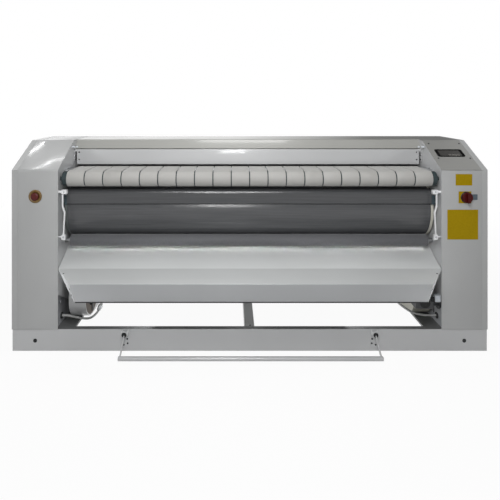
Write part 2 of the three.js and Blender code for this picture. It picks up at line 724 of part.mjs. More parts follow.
const bladeCount = 9;
const impeller = { radius: 100, bladeFoot: 55, half: 36, hub: 14 };
const blades = Array.from({ length: bladeCount }, (_, i) => block(
  -impeller.half, impeller.half + lap, -2, 2, impeller.bladeFoot, impeller.radius - 3)
  .rotateX((i * 360 * degree) / bladeCount));
const fanMiddle = (fanDrum.inner + fanDrum.outer) / 2;
add('left_fan_impeller', mirrored(join(
  alongX(circle(impeller.radius, 20), impeller.half, impeller.half + 3),
  alongX(circle(impeller.hub, 8), fanDrum.inner - fanMiddle + 1, impeller.half + lap),
  ...blades,
)), brightSteel, -fanMiddle, fanDrum.y, fanDrum.z);

const strapEnd = fanDrum.inner - gap;
const strapHalf = 110;
add('left_fan_motor', mirrored(join(
  alongX(circle(52, 24, fanDrum.y, fanDrum.z), strapEnd - 100, strapEnd - 2),
  block(strapEnd - 4, strapEnd, fanDrum.y - 12, fanDrum.y + 12, fanDrum.z - strapHalf, fanDrum.z + strapHalf),
)), blackPaint);

// ---------------------------------------------------------------- electrical panel and cross conduit

// A plate on four standoffs with four contactors, an inverter above them and a terminal strip below.
const panel = { x: 1084, plate: 4, y0: 380, y1: 640, z0: 310, z1: 910 };
const onPanel = (depth, y0, y1, z0, z1) => block(
  panel.x + panel.plate - lap, panel.x + depth, y0, y1, z0, z1);
const contactor = { pitch: 44, width: 36, depth: 58 };
const contactors = Array.from({ length: 4 }, (_, i) => {
  const y = 400 + contactor.pitch * i;
  return onPanel(contactor.depth, y, y + contactor.width, 560, 640);
});
const standoffInset = [15, 20];
const standoffs = [[0, 0], [1, 0], [0, 1], [1, 1]].map(([back, up]) => alongX(circle(
  8, 6,
  back ? panel.y1 - standoffInset[0] : panel.y0 + standoffInset[0],
  up ? panel.z1 - standoffInset[1] : panel.z0 + standoffInset[1],
), frameOuter + gap, panel.x + lap));
add('electrical_panel', mirrored(join(
  block(panel.x, panel.x + panel.plate, panel.y0, panel.y1, panel.z0, panel.z1),
  ...contactors, ...standoffs,
  onPanel(70, 410, 610, 700, 830),
  onPanel(45, 400, 620, 400, 440),
)), greyPlastic);

// The conduit crosses from column to column, clipped under the tray's crease.
const conduitRadius = 6.5;
const conduitRoute = [
  [-1078, 78, 167], [-1050, 78, 167], [-1015, 82, 164], [-975, 92, 150], [-930, 96, 141], [-892, 94, 145],
  [-858, 88, 172], [-832, 78, 212], [-812, 62, 270], [-790, 36, 360], [-760, 16, 418], [-700, 12, 432],
  [-350, 12, 432], [0, 12, 432], [350, 12, 432],
  [680, 12, 432], [745, 16, 418], [778, 36, 360], [800, 58, 300], [826, 72, 246], [866, 82, 210],
  [908, 84, 184], [955, 82, 170], [1005, 79, 167], [1050, 78, 167], [1078, 78, 167],
];
const conduitLine = new THREE.CatmullRomCurve3(
  conduitRoute.map((point) => new THREE.Vector3(...point)), false, 'centripetal');
const conduitSection = new THREE.Shape(
  circle(conduitRadius, 6).map(([a, b]) => new THREE.Vector2(a, b)));
add('cross_conduit', new THREE.ExtrudeGeometry(
  conduitSection, { extrudePath: conduitLine, steps: 72, bevelEnabled: false }), greyPlastic);

// ---------------------------------------------------------------- the whole object

const flatworkIroner = new THREE.Group();
flatworkIroner.name = 'flatwork_ironer';
flatworkIroner.add(machine);

export default flatworkIroner;
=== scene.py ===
# %% [markdown]
# # A flatwork ironer
# This lesson dresses a laundry ironer: two painted steel columns, a table of feed belts, a dark heated
# cylinder with a felt band round it, a return tray, a base and a foot pedal. The solid model comes
# packed and stays where it is; everything here is fitted round it, in metres.

import bmesh
import bpy
import numpy as np
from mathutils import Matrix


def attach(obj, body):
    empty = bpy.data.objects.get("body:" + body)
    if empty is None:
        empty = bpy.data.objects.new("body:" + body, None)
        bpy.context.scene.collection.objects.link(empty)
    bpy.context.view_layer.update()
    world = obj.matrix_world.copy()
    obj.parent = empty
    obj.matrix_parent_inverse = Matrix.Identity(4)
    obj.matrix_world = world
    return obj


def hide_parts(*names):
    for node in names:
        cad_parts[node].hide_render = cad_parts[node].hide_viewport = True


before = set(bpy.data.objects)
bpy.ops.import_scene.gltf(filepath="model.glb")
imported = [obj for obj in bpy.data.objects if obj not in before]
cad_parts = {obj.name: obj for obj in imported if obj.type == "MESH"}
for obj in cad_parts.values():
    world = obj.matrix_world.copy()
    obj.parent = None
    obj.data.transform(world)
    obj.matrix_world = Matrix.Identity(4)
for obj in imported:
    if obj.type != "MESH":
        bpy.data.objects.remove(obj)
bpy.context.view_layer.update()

# %% [markdown]
# ## The camera
# The photograph was taken level, from a standing person's eye height, with the lens shifted down so
# that the columns' edges stay upright. A level camera with a shift does the same, where a tilted one
# would make the columns lean.

# %% Camera
VIEWPOINT = (-0.096, -2.736, 1.364)  # metres from the middle of the machine's footprint
camera_data = bpy.data.cameras.new("camera")
camera_data.lens, camera_data.sensor_width = 33.21, 36
camera_data.shift_x, camera_data.shift_y = 0.036, -0.298
camera = bpy.data.objects.new("camera", camera_data)
camera.location = VIEWPOINT
camera.rotation_euler = (np.pi / 2, 0, 0)
bpy.context.scene.collection.objects.link(camera)
bpy.context.scene.camera = camera
bpy.context.scene.view_settings.view_transform = "Standard"
print("camera stands", -VIEWPOINT[1], "m in front of the middle")

# %% [markdown]
# ## Colours and shader nodes
# Colours are written as they look on a screen and turned to linear light once, here. Every material
# starts from one Principled shader, and one helper adds any node with its settings and links. No real
# finish is quite even, so `finish` drives the shader's inputs with noise. A picture of the surface
# could do it too, but noise on the object's own coordinates needs no unwrapping, and its lumps have a
# size in millimetres.

# %% Colours and nodes
MM = 0.001  # metres
EVEN = (1, 1, 1)  # noise that is as long as it is wide
NOISE_LOW, NOISE_HIGH = 0.3, 0.7  # noise can run from 0 to 1, but mostly lies between these


def linear(colour):
    """sRGB hex to linear: c / 12.92 up to 0.04045, and ((c + 0.055) / 1.055) to the power 2.4 above."""
    c = np.array([int(colour[i:i + 2], 16) for i in (1, 3, 5)]) / 255
    return (*np.where(c <= 0.04045, c / 12.92, ((c + 0.055) / 1.055) ** 2.4), 1.0)


def add(tree, kind, inputs=(), **settings):
    """A new node: settings are its properties, inputs pair a socket with a value, with the output that
    feeds it, or with a node whose first output does."""
    made = tree.nodes.new(kind)
    for name, value in settings.items():
        setattr(made, name, value)
    for socket, value in dict(inputs).items():
        if isinstance(value, bpy.types.Node):
            value = value.outputs[0]
        if isinstance(value, bpy.types.NodeSocket):
            tree.links.new(value, made.inputs[socket])
        else:
            made.inputs[socket].default_value = value
    return made


def start(name, colour, roughness, **more):
    """A material with one Principled shader, its tree, the shader and the object's own coordinates."""
    made = bpy.data.materials.new(name)
    made.use_nodes = True
    tree = made.node_tree
    shader = tree.nodes["Principled BSDF"]
    values = {"Base Color": linear(colour), "Roughness": roughness,
              **{key.replace("_", " "): value for key, value in more.items()}}
    for socket, value in values.items():
        shader.inputs[socket].default_value = value
    return made, tree, shader, add(tree, "ShaderNodeTexCoord").outputs["Object"]


def finish(name, colour, roughness, layers, **more):
    """A material whose inputs follow noise, one layer for each: the input's name, the size of the lumps in
    mm, their detail, how many times longer they are along x, y and z, and where the input starts and
    ends: two colours, two roughnesses, or 0 and a depth in mm for a bump laid over the one before."""
    made, tree, shader, place = start(name, colour, roughness, **more)
    below = {}
    for drives, size, detail, stretch, first, last in layers:
        where = add(tree, "ShaderNodeMapping", {0: place, "Scale": tuple(1 / s for s in stretch)})
        noise = add(tree, "ShaderNodeTexNoise",
                    {"Vector": where, "Scale": 1 / (size * MM), "Detail": float(detail)})
        spread = {0: noise, 1: NOISE_LOW, 2: NOISE_HIGH}
        if drives == "Normal":
            driven = add(tree, "ShaderNodeBump",
                         {"Height": noise, "Distance": last * MM, "Strength": 1.0, **below}).outputs[0]
            below = {"Normal": driven}
        elif drives == "Roughness":
            driven = add(tree, "ShaderNodeMapRange", {**spread, 3: first, 4: last}).outputs[0]
        else:
            share = add(tree, "ShaderNodeMapRange", spread)
            driven = add(tree, "ShaderNodeMix", {0: share, 6: linear(first), 7: linear(last)},
                         data_type="RGBA").outputs[2]
        tree.links.new(driven, shader.inputs[drives])
    return made


print("light grey in linear light:", np.round(linear("#bebebb")[:3], 3))

# %% [markdown]
# ## Painted sheet steel
# The covers are powder coated: polyester powder is sprayed on dry and baked until it flows. That
# leaves a semi-gloss film with a faint orange peel, and the thin sheet under it is never quite flat, so
# its reflections waver. The resin that flowed to the top is a clear coat over the duller body of the
# film. Orange peel is 2 to 3 mm wide; it is drawn at 5 mm so that a pixel can show it.

# %% Powder coats
def coated_sheet(name, light, dark, roughness, peel=0.004, sag=0.06, coat=0.5):
    """Powder coat: its tone drifts over 400 mm and its gloss over 300 mm. sag is the depth in mm of the
    sheet's own waves, 260 mm long, and peel that of the film's."""
    return finish(name, light, roughness, [
        ("Base Color", 400, 2, EVEN, light, dark),
        ("Roughness", 300, 2, EVEN, 0.96 * roughness, 1.04 * roughness),
        ("Normal", 260, 1, EVEN, 0, sag),
        ("Normal", 5, 2, EVEN, 0, peel)], Coat_Weight=coat, Coat_Roughness=0.11)


# Baked powder: a soft sheen over the whole sheet, with a sharper glint from the clear coat.
cover_paint = coated_sheet("powder_coated_steel_grey", "#9fa0a0", "#9b9c9c", 0.38)
# On the inner covers this paler grey is painted light, for the light that reaches into the recess between the
# columns.
light_paint = coated_sheet("powder_coated_steel_light_grey", "#b6b7b8", "#b1b2b3", 0.36)
fascia_paint = coated_sheet("powder_coated_steel_pale_grey", "#b3b4b5", "#aeafb0", 0.36)
tray_paint = coated_sheet("powder_coated_steel_near_white", "#bfc1c1", "#babcbc", 0.40)
# Painted shade: the tray's lip is the tray's own sheet, in a cooler, darker grey for the shade it lies in.
lip_painted_shade = coated_sheet("powder_coated_steel_lip_painted_shade", "#a4a6a8", "#9fa1a3", 0.36)
# Painted shade: the control panel's deep grey is darker than the covers' for the shade and dark reflection on
# the right-hand slant.
panel_painted_shade = coated_sheet("powder_coated_steel_panel_painted_shade", "#868683", "#81817e", 0.38)
# Painted shade: the top cover's grey is darker and a little warmer than the columns', to hold down the light
# its up-facing sheet gets from overhead.
top_painted_shade = coated_sheet("powder_coated_steel_top_painted_shade", "#989894", "#93938f", 0.32)
# Painted light: the tray's end plates are near white, brighter than the tray, for the light that falls on
# them.
end_painted_light = coated_sheet("powder_coated_steel_end_painted_light", "#dcdedf", "#d6d8d9", 0.40)
print("powder coats: 8")

# %% [markdown]
# ## Enamelled steel and iron
# The frame, the rails and the cylinder's heads are brushed or dipped in air-drying or heat-resisting
# enamel, which has little or no clear coat, so it looks duller than powder. The motors' housings are
# cast iron: sand casting leaves grains that the paint doesn't fill, so their relief is much deeper.
# The same maker does for all of them, with less coat and more peel.

# %% Enamels
# Enamel on rolled steel: an even, slightly dull face.
frame_paint = coated_sheet("enamelled_steel_dark_grey", "#929497", "#898b8e", 0.45, coat=0.1)
rail_paint = coated_sheet("enamelled_steel_mid_grey", "#686969", "#606161", 0.45, coat=0.1)
white_paint = coated_sheet("enamelled_steel_white", "#dcddde", "#d2d3d4", 0.35, coat=0.3)
# Heat-resisting enamel, with much pigment and little binder: matt. The dark grey and the brown below it are
# painted shade, on the left cylinder head and on the fan's side, where they lie in shade.
cream_paint = coated_sheet("heat_resistant_enamel_cream", "#b8b6ac", "#aeaca2", 0.45, coat=0.0)
left_head_painted_shade = coated_sheet("heat_resistant_enamel_painted_shade", "#555a59", "#484c4b", 0.5, coat=0.0)
fan_side_painted_shade = coated_sheet("fan_side_painted_shade_brown", "#4c4238", "#423930", 0.55, coat=0.0)
# Enamel on cast iron: grains that break up each highlight.
black_paint = coated_sheet("cast_iron_black_enamel", "#1c1d1f", "#252628", 0.42, peel=0.06, sag=0.02,
                           coat=0.0)
motor_paint = coated_sheet("cast_iron_grey_enamel", "#3c3e40", "#333537", 0.45, peel=0.06, sag=0.02,
                           coat=0.0)
print("enamels: 8")

# %% [markdown]
# ## Dark polished sheet and felt
# The apron and the cylinder are dark, smooth and a little wrinkled along their length, so that a lamp
# overhead draws a broken white line on each bend. Modelling the wrinkles would take a very fine mesh;
# a bump 45 mm long and 14 mm high gives the same line. The ironing band is needle felt: matted fibres
# that stay dull from every side.

# %% Dark sheet and felt
def dark_sheet(name, light, dark, roughness, wrinkle):
    """A satin dark skin with wrinkles 45 mm long and 14 mm high, and faint streaks along the machine."""
    return finish(name, light, roughness, [
        ("Base Color", 8, 3, (30, 1, 1), light, dark),
        ("Roughness", 30, 2, EVEN, 0.8 * roughness, 1.2 * roughness),
        ("Normal", 14, 2, (3.2, 1, 1), 0, wrinkle),
        ("Normal", 3, 2, EVEN, 0, 0.02)])


def felt(name, light, dark):
    """Needle felt: matted fibres, drawn as 2.5 mm tufts stretched along the run, with a soft sheen."""
    tufts = (2.5, 4, (1, 3, 3))
    return finish(name, light, 0.75, [
        ("Base Color", *tufts, light, dark),
        ("Normal", *tufts, 0, 0.25)], Sheen_Weight=0.3)


# Rolled sheet and a ground shell: near mirrors, a little streaked the way they were rolled or ground.
apron_skin = dark_sheet("polished_dark_sheet", "#434446", "#3c3d3f", 0.22, 0.18)
cylinder_skin = dark_sheet("polished_dark_cylinder", "#4a4b4d", "#424345", 0.22, 0.06)
# Needled fibres: no highlight at all, only a pale rim from the sheen.
band_felt = felt("needle_felt_dark_grey", "#595a5d", "#4e4f52")
print("dark skins: 3")

# %% [markdown]
# ## Feed belts and rubber
# A feed belt is a tape of woven polyester, plain weave, with threads about 1 mm apart. The weave
# follows the belt round its rollers, so it is drawn in the belt's own UV map, where one unit is one
# metre: u runs across the tape and v along it. The threads are drawn 2.4 mm apart, or they would melt
# together. Each belt has its own tone, because belts are replaced one by one. The rollers under them
# are lagged with rubber, vulcanised on the steel and then ground, which leaves a dull, even skin.

# %% Woven belt and rubber
def woven_tape(name, light, dark, thread=2.4, crown=0.08, soiling=90, belts_per_metre=10):
    """Plain weave: the product of two sine waves, one thread wide each way, with a crown in mm. The tone
    is a random number for each belt's place along the machine times soiling with 90 mm lumps."""
    made, tree, shader, place = start(name, light, 0.7, Sheen_Weight=0.2)
    uv = add(tree, "ShaderNodeSeparateXYZ", {0: add(tree, "ShaderNodeUVMap", uv_map="run")})
    waves = []
    for direction in (0, 1):
        phase = add(tree, "ShaderNodeMath", {0: uv.outputs[direction], 1: 2 * np.pi / (2 * thread * MM)},
                    operation="MULTIPLY")
        waves.append(add(tree, "ShaderNodeMath", {0: phase}, operation="SINE"))
    weave = add(tree, "ShaderNodeMath", {0: waves[0], 1: waves[1]}, operation="MULTIPLY")
    machine_x = add(tree, "ShaderNodeSeparateXYZ", {0: place})
    belts_along = add(tree, "ShaderNodeMath", {0: machine_x, 1: float(belts_per_metre)},
                      operation="MULTIPLY")
    number = add(tree, "ShaderNodeMath", {0: belts_along}, operation="FLOOR")
    own_tone = add(tree, "ShaderNodeTexWhiteNoise", {"W": number}, noise_dimensions="1D")
    soil = add(tree, "ShaderNodeTexNoise", {"Vector": place, "Scale": 1 / (soiling * MM), "Detail": 4.0})
    worn = add(tree, "ShaderNodeMath", {0: own_tone, 1: soil}, operation="MULTIPLY")
    share = add(tree, "ShaderNodeMapRange", {0: worn, 1: NOISE_LOW, 2: NOISE_HIGH})
    tone = add(tree, "ShaderNodeMix", {0: share, 6: linear(light), 7: linear(dark)}, data_type="RGBA")
    threads = add(tree, "ShaderNodeBump", {"Height": weave, "Distance": crown * MM, "Strength": 1.0})
    tree.links.new(tone.outputs[2], shader.inputs["Base Color"])
    tree.links.new(threads.outputs[0], shader.inputs["Normal"])
    return made


def rubber(name, light, dark, roughness=0.55):
    """Vulcanised rubber: nearly even, with dust that shows as lighter, rougher patches 25 mm wide."""
    return finish(name, light, roughness, [
        ("Base Color", 25, 5, EVEN, light, dark),
        ("Roughness", 25, 5, EVEN, roughness, roughness + 0.25),
        ("Normal", 2, 2, EVEN, 0, 0.03)])


# Woven polyester: matt and slightly ribbed. Rubber: almost black, with dust that lifts it in patches.
belt_cloth = woven_tape("woven_polyester_tape", "#9f9e9b", "#94938f")
lagging = rubber("rubber_lagging_teal", "#101e21", "#17282b")
teal_enamel = rubber("enamelled_tab_teal", "#2c3a3e", "#34434a", 0.45)  # dusty enamel looks alike
black_rubber = rubber("moulded_rubber_black", "#1b1c1d", "#29292a")
print("belt threads drawn 2.4 mm apart")

# %% [markdown]
# ## Bright metal
# Brackets, screws and feet are zinc plated, which gives a cool, slightly cloudy shine. Rollers and
# shafts are turned on a lathe: fine rings round the axis spread the highlight across the turning. An
# anisotropic shader could do that as well, but stretched noise also shows the rings from close by.

# %% Metals
def plated(name, colour, cloud, roughness):
    """Zinc plate: metal with clouds 12 mm wide in its colour and roughness."""
    clouds = (12, 3, EVEN)
    return finish(name, colour, roughness, [
        ("Base Color", *clouds, colour, cloud),
        ("Roughness", *clouds, 0.8 * roughness, 1.3 * roughness),
        ("Normal", 3, 2, EVEN, 0, 0.01)], Metallic=1.0)


def turned_metal(name, colour, roughness):
    """Turned steel: rings 2 mm apart along the machine's length, where a tool leaves them 0.2 mm apart."""
    rings = (2, 2, (1, 60, 60))
    return finish(name, colour, roughness, [
        ("Roughness", *rings, 0.8 * roughness, 1.25 * roughness),
        ("Normal", *rings, 0, 0.015)], Metallic=1.0)


# Electroplated, and for the dark screws blackened after it: small cloudy glints.
zinc = plated("zinc_plated_steel", "#bfc1c3", "#a9abad", 0.32)
dark_zinc = plated("blackened_steel", "#3c3d3f", "#2c2d2f", 0.38)
# Turned on a lathe: one long highlight, spread across by the rings.
roller_steel = turned_metal("turned_steel", "#a7a8aa", 0.28)
print("metals: 3")

# %% [markdown]
# ## Plastics
# The stop button and the switch are moulded ABS, glossy and even, with a faint flow texture. The
# plates are printed film that is left blank here. The display is tinted acrylic. One maker does for
# all of them, because each is smooth and nearly even; only colour, gloss and shine differ.

# %% Plastics
def moulded(name, colour, shade, roughness, shine=0.5):
    """Moulded plastic: an almost even colour, with a 6 mm flow pattern in its gloss."""
    flow = (6, 2, EVEN)
    return finish(name, colour, roughness, [
        ("Base Color", *flow, colour, shade),
        ("Roughness", *flow, 0.85 * roughness, 1.2 * roughness),
        ("Normal", 1.5, 2, EVEN, 0, 0.01)], Specular_IOR_Level=shine)


# Injection-moulded ABS: saturated, with a small soft glint.
red_abs = moulded("abs_red", "#4d0c08", "#420906", 0.4, 0.3)
dark_red_abs = moulded("abs_dark_red", "#44090a", "#380607", 0.45, 0.15)
# Anodised parts and film, as fine and even as a moulding: the dye or ink lies under a matt skin.
gold_ring = moulded("anodised_ring_gold", "#6e5424", "#5c441a", 0.4)
yellow_film = moulded("polyester_film_yellow", "#9c8206", "#927a05", 0.55, 0.1)
blue_grey_plate = moulded("anodised_plate_blue_grey", "#44515a", "#3d4952", 0.45)
# Extruded or moulded PVC: waxy, without sharp reflections.
grey_pvc = moulded("pvc_grey", "#8e8f8e", "#7f807f", 0.45)
conduit_pvc = moulded("pvc_light_grey", "#b4b5b4", "#a8a9a8", 0.45)
white_pvc = moulded("pvc_white", "#d3d8dd", "#c6ccd2", 0.35)
black_pvc = moulded("pvc_black", "#0d0e0f", "#151617", 0.5, 0.3)
# The display: a frame sprayed matt black, cast acrylic that reflects the room, and unlit segments.
bezel_black = moulded("matt_bezel_black", "#070707", "#0b0b0b", 0.7, 0.05)
window_acrylic = moulded("tinted_acrylic", "#403f3d", "#3a3937", 0.2, 0.4)
segment_grey = moulded("display_segments", "#8a8782", "#827f7a", 0.4)
print("plastics: 12")

# %% [markdown]
# ## Shapes as arrays
# Points are worked out in millimetres, with y = 0 on the columns' front face, as on a drawing. A shape
# is a pair: an array of points, and a list of faces that count into it. Most parts of this machine are
# bent sheet or turned, so two makers do most of the work: a flat section carried along a bent line,
# and a profile turned about an axis. Sizes that the solid model has are read from it, so that what is
# fitted round it fits.

# %% Mesh helpers
def ends(node):
    """The least and the greatest x, y and z of a CAD node in the frame, in mm to a hundredth."""
    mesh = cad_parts[node].data
    place = np.zeros(len(mesh.vertices) * 3)
    mesh.vertices.foreach_get("co", place)
    place = place.reshape(-1, 3) / MM
    return np.round([place.min(0), place.max(0)], 2)


FRONT_PLANE = np.array([0, ends("left_front_cover")[0, 1], 0])  # the columns' front face in the frame


def drawn(node):
    """A CAD node's ends as on the drawing, with y = 0 on the front plane: two rows of x, y and z."""
    return ends(node) - FRONT_PLANE


def round_part(node):
    """A round CAD node that lies along the machine: y and z of its middle, and its radius."""
    (_, y0, z0), (_, y1, z1) = drawn(node)
    return (y0 + y1) / 2, (z0 + z1) / 2, (z1 - z0) / 2


def unit(v):
    """Each vector over its own length."""
    return v / np.linalg.norm(v, axis=-1, keepdims=True)


def lofted(rings, closed=False):
    """Rings of points (rows, columns, 3) joined into a solid: a closed loop, or one with flat ends. A face
    goes from a point to the next ring, one step round it, and back; the points count row by row."""
    rows, columns = rings.shape[:2]
    a, b = np.meshgrid(np.arange(rows if closed else rows - 1), np.arange(columns), indexing="ij")
    c, d = (a + 1) % rows, (b + 1) % columns
    corners = [a * columns + b, c * columns + b, c * columns + d, a * columns + d]
    faces = np.stack(corners, -1).reshape(-1, 4).tolist()
    if not closed:
        last = (rows - 1) * columns
        faces += [list(range(columns)), list(range(last, last + columns))]
    return rings.reshape(-1, 3), faces


def together(*shapes):
    """Several shapes as one: each one's faces count on from the points before it."""
    first, faces = 0, []
    for points, own_faces in shapes:
        faces += [[corner + first for corner in face] for face in own_faces]
        first += len(points)
    return np.vstack([points for points, _ in shapes]), faces


def mirrored(shape):
    """The same shape on the other side of the machine: x changes sign."""
    return shape[0] * [-1, 1, 1], shape[1]


def piece(name, shape, material, body="root", stands_for=(), ease=0.0, crease=30):
    """Puts a shape into the scene: doubles merged, faces outwards, corners sharper than `crease` kept.
    ease is the width in mm that a Bevel takes off those corners."""
    mesh = bpy.data.meshes.new(name)
    mesh.from_pydata((shape[0] + FRONT_PLANE) * MM, [], shape[1])
    clean(mesh, 1e-6, outward=True)
    return finished(name, mesh, material, body, stands_for, ease, crease)


def clean(mesh, distance, outward=False, flatten=False):
    """Merges doubled points; outward turns the faces out, flatten joins triangles that lie in one plane."""
    work = bmesh.new()
    work.from_mesh(mesh)
    bmesh.ops.remove_doubles(work, verts=work.verts, dist=distance)
    if outward:
        bmesh.ops.recalc_face_normals(work, faces=work.faces)
    if flatten:
        bmesh.ops.dissolve_limit(work, angle_limit=np.radians(0.5), verts=work.verts, edges=work.edges)
    work.to_mesh(mesh)
    work.free()


def finished(name, mesh, material, body, stands_for, ease, crease):
    """Puts a mesh into the scene: smooth up to its creases, with its finish, its bevel and its body."""
    mesh.shade_smooth()
    mesh.set_sharp_from_angle(angle=np.radians(crease))
    mesh.materials.clear()
    mesh.materials.append(material)
    made = bpy.data.objects.new(name, mesh)
    bpy.context.scene.collection.objects.link(made)
    if ease:
        bevel = made.modifiers.new("eased_edges", "BEVEL")
        bevel.width, bevel.segments = ease * MM, 2
        bevel.limit_method, bevel.angle_limit = "ANGLE", np.radians(crease)
        bevel.harden_normals = True
    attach(made, body)
    if stands_for:
        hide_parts(*stands_for)
    return made


def eased(node, material, ease=1.0):
    """A CAD node's own shape with its corners eased, for sheet and plate that needs nothing else."""
    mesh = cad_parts[node].data.copy()
    clean(mesh, 1e-5, flatten=True)
    return finished(node + "_eased", mesh, material, "root", (node,), ease, 20)


print("front plane at y =", FRONT_PLANE[1] * MM, "m")

# %% [markdown]
# ### Lines, sheets and turned parts
# A bent line's corners are eased with a parabola, which is close enough to a press brake's radius. A
# sheet's edge is rounded by giving its section eased corners. A Solidify and a Bevel modifier could do
# both, but then a bend's inner and outer radius couldn't be told, and neither could a slanted end.

# %% Makers
def rounded(corners, radius, steps=6):
    """A line with eased corners: from `radius` before each corner C to `radius` after it, the points run
    on (1-t)^2 A + 2t(1-t) C + t^2 B."""
    corners = np.asarray(corners, float)
    middle = corners[1:-1]
    radius = np.broadcast_to(radius, len(middle))[:, None]
    a = middle + unit(corners[:-2] - middle) * radius
    b = middle + unit(corners[2:] - middle) * radius
    t = np.linspace(0, 1, steps)[None, :, None]
    curve = (1 - t) ** 2 * a[:, None] + 2 * t * (1 - t) * middle[:, None] + t ** 2 * b[:, None]
    return np.vstack([corners[:1], curve.reshape(-1, corners.shape[1]), corners[-1:]])


def arc(centre, radius, first, last, steps):
    """Points (y, z) round a centre from one angle to another, in degrees from +y towards +z."""
    angle = np.radians(np.linspace(first, last, steps + 1))
    return np.array(centre[:2]) + radius * np.stack([np.cos(angle), np.sin(angle)], -1)


def inward(line, closed=False):
    """From each point of a (y, z) line to its right-hand side: (r + s) / (1 + r . s), where r and s are the
    right-hand sides of the two stretches that meet there, so that copies of the line stay parallel."""
    ahead = unit(np.roll(line, -1, 0) - line)
    right = np.stack([ahead[:, 1], -ahead[:, 0]], -1)
    before = np.roll(right, 1, 0)
    if not closed:
        right[-1], before[0] = right[-2], right[0]
    return (right + before) / (1 + (right * before).sum(1, keepdims=True))


def sheet(line, thickness, left, right, edge=0.4, closed=False):
    """Sheet metal: a flat bar's section, its corners eased by `edge`, carried along a (y, z) line. The
    thickness goes to the line's right; left and right are where it ends in x, the same all along or not."""
    line = np.asarray(line, float)
    turn = np.radians([0, 45, 90])
    off, sink = edge * (1 - np.sin(turn)), edge * (1 - np.cos(turn))
    dx = np.concatenate([off, off[::-1], off, off[::-1]])
    depth = np.concatenate([sink, thickness - sink[::-1], thickness - sink, sink[::-1]])
    on_left = np.repeat([True, True, False, False], 3)
    left, right = (np.broadcast_to(v, len(line))[:, None] for v in (left, right))
    x = np.where(on_left, left + dx, right - dx)
    yz = line[:, None] + inward(line, closed)[:, None] * depth[None, :, None]
    return lofted(np.concatenate([x[..., None], yz], -1), closed)


def slab(outline, left, right):
    """A flat plate: a (y, z) outline carried from one x to another."""
    outline = np.asarray(outline, float)
    x = np.broadcast_to(np.array([left, right], float)[:, None, None], (2, len(outline), 1))
    return lofted(np.concatenate([x, np.broadcast_to(outline, (2, *outline.shape))], -1))


def block(x0, x1, y0, y1, z0, z1):
    """A box between two places along each axis."""
    return slab([[y0, z0], [y1, z0], [y1, z1], [y0, z1]], x0, x1)


def turned(profile, axis, centre, sides=48):
    """A profile of (distance along the axis, radius), turned about a line along X, Y or Z."""
    along, radius = np.asarray(profile, float).T
    angle = np.linspace(0, 2 * np.pi, sides, endpoint=False)
    rings = np.stack([np.broadcast_to(along[:, None], (len(along), sides)),
                      radius[:, None] * np.cos(angle), radius[:, None] * np.sin(angle)], -1)
    order = {"X": [0, 1, 2], "Y": [2, 0, 1], "Z": [1, 2, 0]}[axis]
    return lofted(rings[..., order] + np.asarray(centre, float))


def hoop(profile, axis, centre, sides=48):
    """A turned part with a hole through it: its profile is a closed loop."""
    points, _ = turned(profile, axis, centre, sides)
    return lofted(points.reshape(len(profile), sides, 3), closed=True)


def pipe(path, radius, across, sides=16):
    """A round bar along a path: each ring is a circle in the plane square to the path, spanned by the
    cross product of its direction with `across`, which the path never takes, and by a second one."""
    path = np.asarray(path, float)
    ahead = unit(np.gradient(path, axis=0))
    side = unit(np.cross(ahead, np.asarray(across, float)))
    other = np.cross(ahead, side)
    angle = np.linspace(0, 2 * np.pi, sides, endpoint=False)[None, :, None]
    radius = np.broadcast_to(radius, len(path))[:, None, None]
    wheel = np.cos(angle) * side[:, None] + np.sin(angle) * other[:, None]
    return lofted(path[:, None] + radius * wheel)


def screws(places, toward, radius=3.6, height=2.4, sides=12):
    """Pan-head screws: one head of four rings and a socket, turned about `toward`, at every place."""
    toward = unit(np.asarray(toward, float))
    side = unit(np.cross(toward, [0.3, 0.5, 0.81]))  # a direction that no screw faces
    profile = np.array([[-0.5, 1], [0.35, 1], [0.85, 0.8], [1, 0.45], [0.45, 0.4], [0.45, 0]])
    along, wide = profile[:, 0] * height, profile[:, 1] * radius
    angle = np.linspace(0, 2 * np.pi, sides, endpoint=False)[None, :, None]
    head = along[:, None, None] * toward + wide[:, None, None] * (
        np.cos(angle) * side + np.sin(angle) * np.cross(toward, side))
    return together(*[lofted(head + np.asarray(place, float)) for place in places])


print("makers ready: sheet, slab, block, turned, pipe, screws")

# %% [markdown]
# ## Columns
# Each column is a box of 2 mm sheet: an outer cover that wraps round the front edge, a front cover
# that leans back at the top, and an inner cover. The left front cover is one bent sheet, so it is a
# section carried along its line. The other covers are flat plates with returns, and their own CAD
# shape is right: a copy gets eased edges, because it is the lit edge that makes sheet look like sheet.

# %% Column covers
(INNER, _, BASE_TOP), (EDGE, SHEET, COVER_HEAD) = drawn("right_front_cover")  # a plate, SHEET thick
DEPTH, HEIGHT = drawn("right_side_cover")[1, 1:]
GAP = 0.4  # the joint between two sheets
REAR_FACE, SLANT_FOOT, SLANT_RUN = DEPTH - SHEET - GAP, COVER_HEAD + SHEET + GAP, 256
TOP_FLAT, REAR_TOP = 575, 1120  # the top is level as far as this, and falls a little towards the wall
cover_line = rounded([[0, BASE_TOP], [0, SLANT_FOOT], [SLANT_RUN, HEIGHT], [TOP_FLAT, HEIGHT],
                      [REAR_FACE, REAR_TOP]], [9, 12, 6])
piece("left_front_cover_sheet", sheet(cover_line, SHEET, -EDGE, -INNER), cover_paint,
      stands_for=["left_front_cover"])
right_line = [[0, BASE_TOP], [0, COVER_HEAD]]
piece("right_front_cover_sheet", sheet(right_line, SHEET, INNER, EDGE), cover_paint,
      stands_for=["right_front_cover"])
for side in ("left", "right"):
    eased(side + "_side_cover", cover_paint, 1.5)
    # The inner covers' paler grey is painted light.
    eased(side + "_inner_cover", light_paint, 0.8)
    eased(side + "_side_frame", frame_paint, 1.0)
# The control panel's deep grey is painted shade.
eased("control_panel", panel_painted_shade, 0.8)
print("column covers: 9 pieces")

